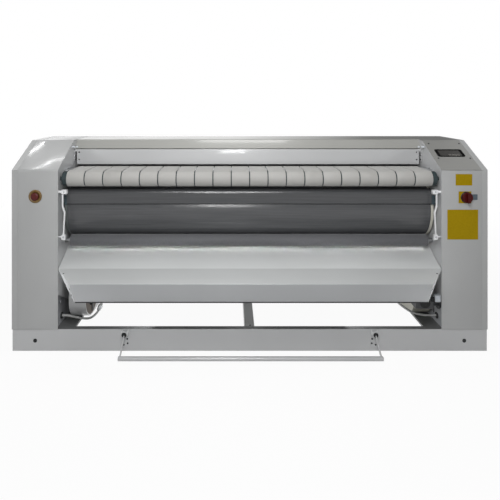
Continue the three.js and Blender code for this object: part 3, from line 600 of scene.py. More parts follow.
# %% [markdown]
# ## Top cover and rear cover
# The top cover is one bent sheet between the columns: a flat top, a steep front slope and a small
# return over the finger guard. A section carried along the machine gives all its bends at once. The
# rear cover is a plain plate, so a copy of its CAD shape with eased edges is enough.

# %% Top and rear covers
SPAN = INNER - GAP
top_line = rounded([[285, 1078], [276, 1078], [314, HEIGHT], [TOP_FLAT, HEIGHT], [DEPTH, REAR_TOP],
                    [DEPTH, REAR_TOP - 25]], [2, 6, 6, 5])
# The top cover's darker, warmer grey is painted shade.
piece("top_cover_sheet", sheet(top_line, SHEET, -SPAN, SPAN), top_painted_shade, stands_for=["top_cover"])
eased("rear_cover", cover_paint, 0.8)
print("top line points:", len(top_line))

# %% [markdown]
# ## Finger guard
# A long flap that swings in if a hand follows the linen. It hangs from a rod between two brackets.
# The flap is a section carried along the machine; it and its rod ride on the guard, and the brackets
# stay behind on the walls.

# %% Finger guard
GUARD_HALF, ROD_HALF = 1028, drawn("finger_guard")[1, 0]  # half the flap's length, and half its rod's
guard_line = rounded([[282, 982], [272, 984], [276, 1074], [291, 1074]], [3, 4])
guard_rod = turned([[-ROD_HALF, 5], [ROD_HALF, 5]], "X", (0, 284, 1068), 20)
guard_end = slab([[275, 986], [286, 984], [290, 1062], [288, 1071], [278, 1071]],
                 GUARD_HALF - 3, GUARD_HALF - 0.5)
guard_flap = sheet(guard_line, SHEET, -GUARD_HALF, GUARD_HALF)
piece("finger_guard_sheet", together(guard_flap, guard_end, mirrored(guard_end)), light_paint,
      "guard", ["finger_guard"])
piece("finger_guard_rod", guard_rod, zinc, "guard", ["finger_guard"])
for side in ("left", "right"):
    eased(side + "_guard_bracket", light_paint, 0.6)
print("guard line points:", len(guard_line))

# %% [markdown]
# ## Feed rollers, table and belts
# The belts run round a thick front roller and a thin rear one. Twenty belts, each its own loop, leave
# 6 mm gaps in which the dark roller shows. A belt's line is two arcs and their common tangents.

# %% Feed
FEED_FRONT, FEED_REAR = round_part("feed_front_roller"), round_part("feed_rear_roller")
PITCH, WIDTH, THICK, BELTS = 100, 94.4, 2.4, 20
BELT_LIFT = 4.0  # a belt's outer face above a roller


def feed_line(lift):
    """The belts' loop, `lift` above both rollers: over the top, round the rear, below, round the front."""
    (y0, z0, r0), (y1, z1, r1) = FEED_FRONT, FEED_REAR
    lean = np.degrees(np.arctan2(z1 - z0, y1 - y0))
    under = lean - np.degrees(np.arccos((r0 - r1) / np.hypot(y1 - y0, z1 - z0)))
    return np.vstack([arc(FEED_REAR, r1 + lift, 90, under, 24), arc(FEED_FRONT, r0 + lift, under, -270, 48)])


def mapped_along(mesh, line, run):
    """The UV map of a belt, in metres: u is a point's x, v the run of the loop's nearest point."""
    place = np.zeros(len(mesh.vertices) * 3)
    mesh.vertices.foreach_get("co", place)
    place = place.reshape(-1, 3)
    away = np.linalg.norm(place[:, None, 1:] - (line + FRONT_PLANE[1:]) * MM, axis=2)
    corners = np.zeros(len(mesh.loops), int)
    mesh.loops.foreach_get("vertex_index", corners)
    uv = np.stack([place[:, 0], run[np.argmin(away, 1)] * MM], -1)[corners]
    mesh.uv_layers.new(name="run").data.foreach_set("uv", uv.ravel())


belt_line = feed_line(BELT_LIFT)
run = np.concatenate([[0], np.cumsum(np.linalg.norm(np.diff(belt_line, axis=0), axis=1))])
for i in range(BELTS):
    left = (i - BELTS / 2) * PITCH + (PITCH - WIDTH) / 2
    loop = sheet(belt_line, THICK, left, left + WIDTH, 0.9, closed=True)
    belt = piece(f"feed_belt_{i + 1:02d}", loop, belt_cloth, stands_for=["feed_belts"],
                 crease=50)
    mapped_along(belt.data, belt_line, run)
print("belt loop", round(run[-1]), "mm long, belts:", BELTS)

# %% [markdown]
# A roller is a steel tube with a shaft through it. The feed rollers are lagged with rubber, which
# grips the belts. Turning one profile gives tube, rims and journals in one closed shape.

# %% Feed rollers
SHAFT_HALF = drawn("feed_front_roller")[1, 0]  # half of every roller's shaft
JOURNAL, SHOULDER = 10, 14  # the shaft's two radii


def roller(name, centre, half, material, body, lagged=0.0):
    """A roller with eased rims and a stepped journal at each end."""
    y, z, r = centre
    face = r + lagged
    profile = [[0, face], [half - 2, face], [half, face - 2], [half, SHOULDER], [half + 4, SHOULDER],
               [half + 4, JOURNAL], [SHAFT_HALF, JOURNAL]]
    full = [[-a, b] for a, b in profile[::-1]] + profile[1:]
    return piece(name + "_turned", turned([[full[0][0], 0]] + full + [[full[-1][0], 0]], "X", (0, y, z), 72),
                 material, body, [name])


roller("feed_front_roller", FEED_FRONT, 1024, lagging, "feed_front", 1.0)
roller("feed_rear_roller", FEED_REAR, 1010, lagging, "feed_rear", 1.0)
eased("feed_table", zinc, 0.5)
print("feed rollers: 2, and the table between them")

# %% [markdown]
# ## Cylinder, band and band rollers
# The heated cylinder turns in two cast heads. Behind it, a felt band presses the linen on; it comes
# back to the front round the exit roller, the dark strip above the tray. Shell and heads are turned
# on a lathe in the real machine too, so one profile each, turned about the axis, is true to them.

# %% Ironing cylinder
CYLINDER = round_part("ironing_cylinder")
SHELL_HALF, SHELL_BORE = drawn("ironing_cylinder")[1, 0], 167
shell_end = [[SHELL_HALF - 1.5, CYLINDER[2]], [SHELL_HALF, CYLINDER[2] - 1], [SHELL_HALF, SHELL_BORE]]
cylinder_profile = [[-along, radius] for along, radius in shell_end[::-1]] + shell_end
piece("ironing_cylinder_shell", turned(cylinder_profile, "X", (0, *CYLINDER[:2]), 192), cylinder_skin,
      "cylinder", ["ironing_cylinder"])
head_profile = [[1001, 25], [1001, 164], [1013.4, 164], [1013.4, 171.5], [1015, 173], [1028, 173],
                [1030, 171], [1030, 158], [1022, 152], [1022, 84], [1030, 62], [1034, 46], [1034, 40],
                [1114, 40], [1114, 25]]  # bore, spigot, rim, dished web, hub and journal
head = turned(head_profile, "X", (0, *CYLINDER[:2]), 96)
BOLTS, BOLT_CIRCLE, WEB_FACE = 12, 118, 1022.5
around = (np.arange(BOLTS) + 0.5) * 2 * np.pi / BOLTS
bolt_ring = np.stack([np.full(BOLTS, WEB_FACE), CYLINDER[0] + BOLT_CIRCLE * np.cos(around),
                      CYLINDER[1] + BOLT_CIRCLE * np.sin(around)], -1)
bolts = screws(bolt_ring, (1, 0, 0), radius=8, height=6, sides=6)
# The right head is cream; the left head's dark grey is painted shade for the shade on that end.
for side, turn, enamel in (("right", lambda shape: shape, cream_paint), ("left", mirrored, left_head_painted_shade)):
    piece(side + "_cylinder_head_casting", turn(head), enamel, "cylinder",
          [side + "_cylinder_head"])
    piece(side + "_cylinder_head_bolts", turn(bolts), zinc, "cylinder")
print("cylinder", 2 * CYLINDER[2], "mm across")

# %% [markdown]
# The band touches the cylinder between the top roller and the exit roller. Both rollers stand where
# their surface presses the band on the cylinder at a given angle. The band's line is then arcs round
# the cylinder and the rollers, joined by their common tangents.

# %% Band
CYLINDER_LIFT, ROLLER_LIFT, FELT = 1.0, 0.9, 3.0
REACH = CYLINDER[2] + CYLINDER_LIFT + FELT + ROLLER_LIFT
TOP_ANGLE, EXIT_ANGLE = 60, -125


def pressed(angle, radius):
    """Where a roller stands that presses the band on the cylinder at this angle."""
    a = np.radians(angle)
    return (CYLINDER[0] + (REACH + radius) * np.cos(a), CYLINDER[1] + (REACH + radius) * np.sin(a), radius)


EXIT, BAND_TOP, BAND_REAR = pressed(EXIT_ANGLE, 30), pressed(TOP_ANGLE, 35), round_part("band_rear_roller")


def tangent(a, b):
    """The angle at which an outer tangent leaves circle a for circle b, in degrees."""
    (y0, z0, r0), (y1, z1, r1) = a, b
    return np.degrees(np.arctan2(z1 - z0, y1 - y0) - np.arccos((r0 - r1) / np.hypot(y1 - y0, z1 - z0)))


under, behind = tangent(EXIT, BAND_REAR) + 360, tangent(BAND_REAR, BAND_TOP) + 360
lift = ROLLER_LIFT + FELT
band_line = np.vstack([
    arc(CYLINDER, REACH - lift, TOP_ANGLE, EXIT_ANGLE, 90),
    arc(EXIT, EXIT[2] + lift, EXIT_ANGLE + 180, under, 40)[1:],
    arc(BAND_REAR, BAND_REAR[2] + lift, under, behind, 20),
    arc(BAND_TOP, BAND_TOP[2] + lift, behind - 360, TOP_ANGLE + 180, 40)[:-1]])
BAND_HALF, ROLLER_HALF = drawn("ironing_band")[1, 0], 1012
band_loop = sheet(band_line[::-1], FELT, -BAND_HALF, BAND_HALF, 0.8, closed=True)
piece("ironing_band_loop", band_loop, band_felt, stands_for=["ironing_band"], crease=50)
roller("exit_roller", EXIT, ROLLER_HALF, roller_steel, "exit")
roller("band_top_roller", BAND_TOP, ROLLER_HALF, roller_steel, "band_top")
roller("band_rear_roller", BAND_REAR, ROLLER_HALF, roller_steel, "band_rear")
print("band loop of", len(band_line), "points")

# %% [markdown]
# ## Apron and stays
# A dark sheet hides the cylinder's upper front. Its face is a little buckled along its length, so its
# line is shifted by slow sine waves, 0.6 mm in all. Two white bent bars stay it at its ends; their own
# CAD shape only needs eased edges.

# %% Apron
apron_line = rounded([[68, 790], [62, 794], [62, 856], [75, 874], [85, 876]], [3, 8, 6])
APRON_HALF = SHELL_HALF
stations = np.linspace(-APRON_HALF, APRON_HALF, 240)


def buckled(line, thickness, waves):
    """A long bent sheet as a closed grid: the line and its inner copy, repeated along x, each station
    moved along y by a sum of sine waves (period mm, size mm)."""
    section = np.vstack([line, (line + inward(line) * thickness)[::-1]])
    grid = np.empty((len(stations), len(section), 3))
    grid[..., 0] = stations[:, None]
    grid[..., 1:] = section
    for period, size in waves:
        grid[..., 1] += (size * np.sin(2 * np.pi * stations / period + period))[:, None]
    return lofted(grid)


apron = buckled(apron_line, SHEET, [(410, 0.35), (173, 0.2), (61, 0.08)])
piece("front_apron_sheet", apron, apron_skin, stands_for=["front_apron"])
tab = block(APRON_HALF - 1, SPAN, 66, 69, 788, 840)
piece("front_apron_tabs", together(tab, mirrored(tab)), teal_enamel,
      stands_for=["front_apron"])
for side in ("left", "right"):
    eased(side + "_stay_bracket", white_paint, 1.2)
print("apron stations:", len(stations))

# %% [markdown]
# ## Return tray
# One bent sheet: a steep rear panel with a faint fold, a crease, a nearly level front panel and a lip
# that turns down and back, with a rubber strip under its edge. Its sides draw in towards the lip, so
# its half width is a third number of the line's corners. The lip is cut off along the fold and given a
# cooler, darker grey of the same powder coat: painted shade, which a finish gives better than a lamp.

# %% Return tray
TRAY_HALF = drawn("return_tray")[1, 0]
tray_corners = [[150, 531, TRAY_HALF], [93, 497.5, TRAY_HALF], [0, 455, TRAY_HALF], [-228, 462, 896],
                [-185, 355, 887], [-169, 355, 887]]  # y, z and half the width
tray_line = rounded(tray_corners, [3, 5, 4, 3])
front_fold = np.argmin(tray_line[:, 0])
panels, lip = [sheet(line[::-1, :2], SHEET, -line[::-1, 2], line[::-1, 2])
               for line in (tray_line[:front_fold + 1], tray_line[front_fold:])]
skirt = block(TRAY_HALF - SHEET, TRAY_HALF, 5, 140, 425, 457)
piece("return_tray_sheet", together(panels, skirt, mirrored(skirt)), tray_paint,
      stands_for=["return_tray"])
# The lip's darker grey is painted shade.
piece("return_tray_lip", lip, lip_painted_shade, stands_for=["return_tray"])
for side in ("left", "right"):
    # The end plates' near white is painted light.
    eased(side + "_tray_end", end_painted_light, 0.4)
piece("tray_edge_strip", block(-884, 884, -186, -171, 350, 354.9), black_rubber, ease=0.8)
print("tray line points:", len(tray_line))

# %% [markdown]
# ## Base and feet
# The base is folded dark steel with a light fascia in front. The rails lie in shadow, so they keep
# their CAD shape without a bevel. Each levelling foot is a turned stem on a plate, with a nut that is
# the same kind of turned shape with only six sides.

# %% Base
for node, paint in (("base_front_rail", rail_paint), ("base_rear_rail", rail_paint),
                    ("base_center_beam", cover_paint), ("left_platform", rail_paint),
                    ("right_platform", rail_paint)):
    eased(node, paint, 0)
eased("base_front_fascia", fascia_paint, 1.0)
foot_profile = [[0, 0], [0, 23], [1, 24], [5, 24], [6.5, 22], [12, 9], [12, 8], [46, 8], [46, 0]]
nut_profile = [[12.5, 8], [12.5, 14], [19, 14], [19, 8]]
for node in ("left_front_foot", "right_front_foot", "left_rear_foot", "right_rear_foot"):
    place = drawn(node).mean(0) * [1, 1, 0]
    foot = together(turned(foot_profile, "Z", place, 40), turned(nut_profile, "Z", place, 6))
    piece(node + "_turned", foot, zinc, stands_for=[node], ease=0.4)
    print(node, "at x, y:", place[:2])

# %% [markdown]
# ## Pedal
# A round bar on two flat arms, each with an eye that hangs on a bracket. The pedal goes down by about
# 8 degrees round its two eyes, so bar, arms and eyes are one welded piece that rides on the pedal's
# body, and the brackets stay on the fascia.

# %% Pedal
PIVOT, BAR, ARM_X = np.array([-18, 110.0]), np.array([-128, 38.5]), 674
BAR_HALF, BAR_RADIUS, ROUND, ARM_WIDTH = 682, 11.5, 0.8, 16
bar_end = [[BAR_HALF - ROUND, BAR_RADIUS], [BAR_HALF, BAR_RADIUS - ROUND], [BAR_HALF, 0]]
bar_profile = [[-along, radius] for along, radius in bar_end[::-1]] + bar_end
run_down = unit(BAR - PIVOT)
half_width = np.array([-run_down[1], run_down[0]]) * ARM_WIDTH / 2
arm_top = PIVOT + run_down * 9  # the arm is welded to the eye here
arm = slab([arm_top - half_width, arm_top + half_width, BAR + half_width, BAR - half_width],
           ARM_X - 2.5, ARM_X + 2.5)
eye_profile = [[-12.6, 6.4], [-12.6, 11], [-11.8, 12], [11.8, 12], [12.6, 11], [12.6, 6.4]]
eye = hoop(eye_profile, "X", (ARM_X, *PIVOT), 32)
pedal = together(turned(bar_profile, "X", (0, *BAR), 40), arm, mirrored(arm), eye, mirrored(eye))
piece("foot_pedal_bar", pedal, fascia_paint, "pedal", ["foot_pedal"])
for side in ("left", "right"):
    eased(side + "_pedal_bracket", fascia_paint, 0.6)
print("pedal bar", 2 * BAR_HALF, "mm long")

# %% [markdown]
# ## Stop button and main switch
# The stop button is a red mushroom in a gold ring, and the switch is a bar knob on a collar with two
# plates behind it. Such parts are moulded round, so a profile turned about a line towards the
# operator gives them, with their rounded rims drawn into it; the knob's bar is a block set on top.

# %% Stop button
STOP = (-1162, 0, 847)
ring_profile = [[0, 36], [-3, 36], [-6, 33], [-7, 29], [-5, 24], [-4, 22], [0, 22]]
mushroom_profile = [[-6.6, 0], [-6.6, 11], [-7, 19.5], [-9, 21.3], [-11.5, 20.6], [-13.8, 17], [-15.2, 12],
                    [-15.8, 6], [-16, 0]]
piece("estop_ring", turned(ring_profile, "Y", STOP, 64), gold_ring)
piece("estop_button_head", turned(mushroom_profile, "Y", STOP, 64), red_abs, "stop_button",
      ["estop_button"])
print("stop button: its ring and its head")

# %% Main switch
SWITCH_X, SWITCH_Z = 1174, 842
COLLAR_FOOT = -1.2  # the plate's face, on which the collar sits
plate = block(SWITCH_X - 42, SWITCH_X + 27, COLLAR_FOOT, -0.05, SWITCH_Z - 32, SWITCH_Z + 32)
piece("switch_plate", plate, yellow_film, ease=0.4)
side_plate = block(SWITCH_X + 28, SWITCH_X + 60, -2.5, -0.05, SWITCH_Z - 14, SWITCH_Z + 16)
piece("switch_side_plate", side_plate, blue_grey_plate, ease=0.8)
collar = turned([[0, 31], [-3, 31], [-4.5, 29], [-4.5, 0]], "Y", (SWITCH_X, COLLAR_FOOT, SWITCH_Z), 48)
piece("switch_collar", collar, dark_zinc)
knob_profile = [[-6, 0], [-6, 27], [-8, 29], [-18, 28.5], [-20, 26], [-20.4, 0]]
knob = together(turned(knob_profile, "Y", (SWITCH_X, 0, SWITCH_Z), 64),
                block(SWITCH_X - 7, SWITCH_X + 7, -36, -19, SWITCH_Z - 26, SWITCH_Z + 26))
piece("main_switch_knob_grip", knob, dark_red_abs, "switch_knob", ["main_switch_knob"],
      ease=1.5)
print("main switch: 4 pieces")

# %% [markdown]
# ## Control panel
# On the slant: four screws, and a display in a frame with rounded corners. The outlines are drawn flat,
# where a rectangle is easy to read, and then leaned back onto the slant.

# %% Control panel
SLOPE = np.arctan2(HEIGHT - SLANT_FOOT, SLANT_RUN)


def on_slant(shape):
    """Leans a shape drawn flat, with y up the slope and z off the panel, back onto the slant."""
    x, u, w = shape[0].T
    c, s = np.cos(SLOPE), np.sin(SLOPE)
    return np.stack([x, u * c - w * s, SLANT_FOOT + u * s + w * c], -1), shape[1]


def rounded_outline(x0, x1, y0, y1, radius):
    """A rectangle's outline with round corners: four quarter circles round the corners of a smaller one."""
    x_middle = np.array([x1, x0, x0, x1]) + np.array([-1, 1, 1, -1]) * radius
    y_middle = np.array([y1, y1, y0, y0]) + np.array([-1, -1, 1, 1]) * radius
    turn = np.radians(np.linspace(0, 90, 7) + np.array([[0], [90], [180], [270]]))
    x = x_middle[:, None] + radius * np.cos(turn)
    y = y_middle[:, None] + radius * np.sin(turn)
    return np.stack([x.ravel(), y.ravel()], -1)


def levels(*steps):
    """Outlines laid level, each at its height."""
    return np.stack([np.hstack([outline, np.full((len(outline), 1), float(z))]) for outline, z in steps])


slant_length = np.hypot(HEIGHT - SLANT_FOOT, SLANT_RUN)
WINDOW_LEFT, WINDOW_RIGHT = 1082, 1219
WINDOW_FOOT, WINDOW_HEAD = 0.43 * slant_length, 0.655 * slant_length
pane = rounded_outline(WINDOW_LEFT + GAP, WINDOW_RIGHT - GAP, WINDOW_FOOT + GAP, WINDOW_HEAD - GAP, 4)
piece("display_window_pane", on_slant(lofted(levels((pane, -5), (pane, -0.6)))), window_acrylic,
      stands_for=["display_window"])
frame_out, frame_in = rounded_outline(1071, 1227, 122, 195, 12), rounded_outline(1088, 1212, 130, 188, 5)
rim = levels((frame_out, 0.05), (frame_out, 1.4), (frame_in, 1.4), (frame_in, 0.05))
display_frame = lofted(rim, closed=True)
piece("display_frame", on_slant(display_frame), bezel_black, ease=0.5)
print("slant", round(float(slant_length)), "mm long")

# %% [markdown]
# ## Drive, fan and conduit under the tray
# Seen under the tray: the fan's drum on the left, the gear motor on the right, and a ribbed conduit
# that leaves each column through a rubber grommet and crosses behind the tray. The housings' CAD
# shapes are right and only get eased edges. What can hardly be seen, such as the sprockets and the
# chain, is the CAD node itself with a finish on it.

# %% Fan, duct and motors
for node, material, slot in (("left_fan_housing", light_paint, "paint"),
                             ("right_extraction_duct", cream_paint, "cream_paint"),
                             ("drive_motor", motor_paint, "black_paint"),
                             ("left_fan_motor", black_paint, "black_paint")):
    eased(node, material, 1.2)
kept = {"left_cylinder_bearing": frame_paint, "right_cylinder_bearing": frame_paint, "heating_elements": zinc,
        "motor_sprocket": zinc, "cylinder_sprocket": zinc, "drive_chain": dark_zinc,
        "left_fan_impeller": zinc, "electrical_panel": grey_pvc}
for node, material in kept.items():
    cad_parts[node].material_slots[0].material = material
print("CAD nodes kept:", len(kept))

# %% [markdown]
# The conduit is a ribbed plastic tube that holds the cables. Its route is a list of places read off the
# photograph, smoothed by a curve that goes through every one of them, and its radius swells and sinks
# along the way, which gives the ribs.

# %% Conduit
route = np.array([
    [-1078, 78, 167], [-1050, 78, 167], [-1015, 82, 164], [-975, 92, 150], [-930, 96, 141], [-892, 94, 145],
    [-858, 88, 172], [-832, 78, 212], [-812, 62, 270], [-790, 36, 360], [-760, 16, 418], [-700, 12, 432],
    [-350, 12, 432], [0, 12, 432], [350, 12, 432], [680, 12, 432], [745, 16, 418], [778, 36, 360],
    [800, 58, 300], [826, 72, 246], [866, 82, 210], [908, 84, 184], [955, 82, 170], [1005, 79, 167],
    [1050, 78, 167], [1078, 78, 167]], float)


def smooth(points, per_span):
    """A curve that goes through every point: 0.5 (2b + (c-a)t + (2a-5b+4c-d)t^2 + (3b-a-3c+d)t^3) between
    b and c, where a comes before them and d after."""
    p = np.vstack([2 * points[:1] - points[1:2], points, 2 * points[-1:] - points[-2:-1]])
    a, b, c, d = (p[i:len(p) - 3 + i, None] for i in range(4))
    t = np.linspace(0, 1, per_span, endpoint=False)[None, :, None]
    bend, twist = 2 * a - 5 * b + 4 * c - d, 3 * b - a - 3 * c + d
    curve = 0.5 * (2 * b + (c - a) * t + bend * t ** 2 + twist * t ** 3)
    return np.vstack([curve.reshape(-1, 3), points[-1:]])


def evenly(path, step):
    """The same path with points a fixed distance apart: each lies on a straight stretch between two of
    the old ones, as far along as its share of the length says."""
    length = np.concatenate([[0], np.cumsum(np.linalg.norm(np.diff(path, axis=0), axis=1))])
    at = np.arange(0, length[-1], step)
    return np.stack([np.interp(at, length, path[:, i]) for i in range(3)], -1)


STEP = 1.5  # mm between the rings of the mesh: four of them make a rib, 6 mm long
conduit_path = evenly(smooth(route, 24), STEP)
ribs = 6.0 + 0.5 * np.cos(np.arange(len(conduit_path)) * np.pi / 2)
piece("cross_conduit_ribbed", pipe(conduit_path, ribs, (0, 1, 0), 10), conduit_pvc,
      stands_for=["cross_conduit"], crease=80)
grommet = turned([[1043, 7], [1043, 14], [1045, 17], [1052, 17], [1054, 15], [1058, 11], [1058, 7]],
                 "X", (0, 78, 167), 32)
for side, turn in (("right", lambda shape: shape), ("left", mirrored)):
    piece(side + "_grommet", turn(grommet), black_rubber)
gland_way = np.array([[-843.5, 82.5, 194], [-826, 75, 228]], float)
gland = pipe(gland_way[0] + np.array([0, 0.1, 0.35, 0.4, 0.9, 1])[:, None] * (gland_way[1] - gland_way[0]),
             [9, 11, 11, 13, 13, 10], (0, 1, 0), 6)
piece("conduit_gland", gland, zinc, ease=0.5)
print("conduit", round(len(conduit_path) * STEP), "mm long")

# %% [markdown]
# ## Small parts under the tray
# A thin dark brown sheet with a round hole, the eye, lies on the fan's side behind the motor: painted
# shade, for the shade on that side of the drum. The gear motor has a black cap, and a white terminal box
# with a black plug stands beside it. All but the cable are turned shapes or boxes; the cable is a round
# bar along a smoothed route.

# %% Small parts under the tray
FAN, FAN_EYE, FAN_SHADE_RIM, FAN_SIDE = (190, 256), 76, 122, -910  # centre, two radii, place in x
near, far = FAN_SIDE + 0.05, FAN_SIDE + 0.3
# A dark sheet 0.25 mm thick on the drum's side: painted shade.
eye_shade_sheet = hoop([[near, FAN_EYE], [near, FAN_SHADE_RIM], [far, FAN_SHADE_RIM], [far, FAN_EYE]], "X", (0, *FAN), 64)
piece("fan_side_shade_sheet", eye_shade_sheet, fan_side_painted_shade)
GEARBOX_X = 957
cap_profile = [[13, 27.5], [10.5, 27.5], [9, 25], [9, 10], [7.5, 9], [7.5, 0]]
piece("gearbox_cap", turned(cap_profile, "Y", (GEARBOX_X, 0, 262), 48), black_pvc)
FIN_ROOT, FIN_TIP, FIN_THICK = 42.2, 46, 3
fin_profile = [[0, FIN_ROOT], [0, FIN_TIP], [FIN_THICK, FIN_TIP], [FIN_THICK, FIN_ROOT]]
fins = together(*[turned(fin_profile, "Z", (GEARBOX_X, 60, z), 40) for z in range(342, 432, 9)])
piece("motor_fins", fins, motor_paint)
piece("terminal_box", block(1011, 1042, 12, 40, 268, 304), white_pvc, ease=2.0)
piece("terminal_box_plug", block(994, 1010.5, 15, 36, 268, 292), black_pvc, ease=1.5)
cable_route = np.array([[986, 27, 300], [991, 26, 291], [999, 25, 262], [1008, 26, 230], [1012, 34, 205]],
                       float)
piece("terminal_cable", pipe(smooth(cable_route, 8), 3, (0, 1, 0), 10), black_rubber)
print("small parts under the tray: 6")

# %% [markdown]
# ## Blank plates
# Two yellow film plates on the right column. They are printed film glued to the paint; here nothing is
# printed on them. A box 0.6 mm thick with eased edges is enough to catch the light like film does.

# %% Blank plates
for name, x0, x1, z0, z1 in (("upper", 1116, 1206, 906, 968), ("lower", 1071, 1238, 613, 775)):
    piece(f"{name}_film_plate", block(x0, x1, -0.6, -0.02, z0, z1), yellow_film, ease=0.2)
print("blank plates: 2")

# %% [markdown]
# ## Screws, clips and plugs
# Small parts say how the sheets are held. A list gives each kind its places on the right-hand side and
# the way its heads look; the left-hand ones are their mirror images.

# %% Screws
OFF_PLATE = np.array([1.62, -1.03, -0.56])  # square to the plate, 2 mm out, to its outer face


def on_end_plate(s, t):
    """A place on a tray end plate's outer face: rear corner + s (foot - rear) + t (lip corner - rear)."""
    rear, foot, lip = np.array([[1036, -1, 452.3], [888, -184, 355], [897.4, -225.5, 459.2]])
    return rear + s * (foot - rear) + t * (lip - rear) + OFF_PLATE


FRONT, INSIDE, UP, BACK = (0, -1, 0), (-1, 0, 0), (0, 0, 1), (0, 1, 0)
rear_rows = [[x, REAR_FACE, z] for x in (150, 450, 750, 1020) for z in (150, 1102)] + [
    [1020, REAR_FACE, z] for z in (390, 630, 870)]
for name, places, toward, radius, height, material, body in (
        ("guard_end_screws", [[1015, 275.2, 1056], [1015, 273.2, 1012]], FRONT, 4.5, 2.5, dark_zinc, "guard"),
        ("guard_bracket_bolts", [[1037.6, 275, 1038], [1037.6, 275, 1014]], INSIDE, 5, 4, dark_zinc, "root"),
        ("wall_bolts", [[1040, 156, 975], [1040, 500, 975]], INSIDE, 5, 4, dark_zinc, "root"),
        ("stay_pins", [[1008, 2, 870]], FRONT, 5, 2, zinc, "root"),
        ("stay_bolts", [[1012, 3, 624]], FRONT, 6, 3, zinc, "root"),
        ("stay_wall_nuts", [[1039.6, 12, 624]], INSIDE, 7.5, 5, zinc, "root"),
        ("tray_screws", [[981, -78, 457.4]], UP, 4.5, 2.2, dark_zinc, "root"),
        ("tray_end_screws", [on_end_plate(0.35, 0.55), on_end_plate(0.66, 0.27)], OFF_PLATE, 4, 2, dark_zinc,
         "root"),
        ("pedal_bracket_screws", [[664, 1.6, 74], [662, 1.6, 50], [683, 1.6, 42]], FRONT, 5, 3, dark_zinc,
         "root"),
        ("rear_cover_screws", rear_rows, BACK, 5, 2.2, zinc, "root")):
    shape = screws(places, toward, radius, height)
    piece(name, together(shape, mirrored(shape)), material, body)
panel_screws = screws([[x, u, 0] for u in (255, 108) for x in (1065, 1244)], UP, 5, 2.2)
piece("control_panel_screws", on_slant(panel_screws), dark_zinc)
piece("beam_screw", screws([[4, 50, 124.6]], UP, 6, 1.5), dark_zinc)
print("kinds of screw: 12")

# %% [markdown]
# Plastic clips sit on the walls and under the belts, and black plugs close the holes in the fascia. A
# black cap covers each pedal eye. The rear cover breathes through pressed louvres 2 mm deep. They are
# too small for the solid model, so each kind is one piece of plain boxes or turned shapes.

# %% Clips, plugs and louvres
wall_clips = together(block(1022, 1039.9, 222, 232, 1089, 1097), block(1025, 1035, 278, 286, 1084, 1092))
piece("wall_clips", together(wall_clips, mirrored(wall_clips)), white_pvc, ease=0.8)
belt_clips = together(*[block(left, left + width, 76, 84, 876.6, 885) for left, width in (
    (-476, 20), (-440, 25), (-381, 10), (-6, 10), (335, 14), (368, 20), (412, 12), (440, 14), (468, 12))])
piece("belt_clips", belt_clips, black_pvc, ease=0.8)
plug = turned([[5, 8.6], [5, 10.5], [3.5, 10.5], [2.5, 9], [2.2, 0]], "Y", (1165, 0, 63), 32)
piece("fascia_plugs", together(plug, mirrored(plug)), black_pvc)
cap = turned([[-31, 12.8], [-32.6, 13.4], [-34.6, 12.6], [-35, 10.4], [-34.2, 6.5], [-34.2, 0]], "Y",
             (ARM_X, 0, PIVOT[1] + 1), 40)
piece("pedal_caps", together(cap, mirrored(cap)), black_pvc, "pedal")
swell = np.radians(np.linspace(-90, 90, 7))
louvre = np.stack([697.5 + 2.4 * np.cos(swell), 5.5 * np.sin(swell)], -1)
LOUVRE_COLUMNS, LOUVRE_ROWS, LOUVRE_LONG = (330, 520, 710), range(880, 1020, 20), 150
louvres = together(*[slab(louvre + [0, z], x, x + LOUVRE_LONG) for x in LOUVRE_COLUMNS for z in LOUVRE_ROWS])
piece("rear_louvres", together(louvres, mirrored(louvres)), cover_paint, crease=60)
print("louvres:", 2 * len(LOUVRE_COLUMNS) * len(LOUVRE_ROWS))

# %% [markdown]
# ## Display
# Four seven-segment digits, unlit, low on the right of the pane. The real segments are windows in a
# black mask; here each digit is seven small bars laid on the pane, which show as faintly.

# %% Display digits
def digit(x, u):
    """Seven bars round a space 9 mm wide and 15 mm high: three level ones, and two pairs of upright ones."""
    level = [(x + 1, x + 8, u + step - 0.8, u + step + 0.8) for step in (0, 7.5, 15)]
    upright = [(x + side - 0.8, x + side + 0.8, u + foot, u + foot + 6)
               for side in (0, 9) for foot in (0.8, 8.2)]
    return together(*[block(*bar, -0.6, -0.3) for bar in level + upright])


digits = together(*[digit(1140 + 16 * i, 134) for i in range(4)])
piece("display_digits", on_slant(digits), segment_grey)
print("digits: 4")

# %% [markdown]
# ## Floor and room
# A white floor and a white room. The floor and the world are full white for camera, glossy and
# transmission rays only, so the background and its reflections are white while the light on the
# machine stays level and the floor keeps a soft shadow. A brighter room would give the same ground,
# but it would wash the machine out.

# %% Floor
def shown_rays(tree):
    """1 for rays that see the background directly, in a gloss or through glass, and 0 for its light."""
    path = add(tree, "ShaderNodeLightPath")
    some = add(tree, "ShaderNodeMath", {0: path.outputs["Is Camera Ray"], 1: path.outputs["Is Glossy Ray"]},
               operation="ADD")
    return add(tree, "ShaderNodeMath", {0: some, 1: path.outputs["Is Transmission Ray"]}, operation="ADD",
               use_clamp=True)


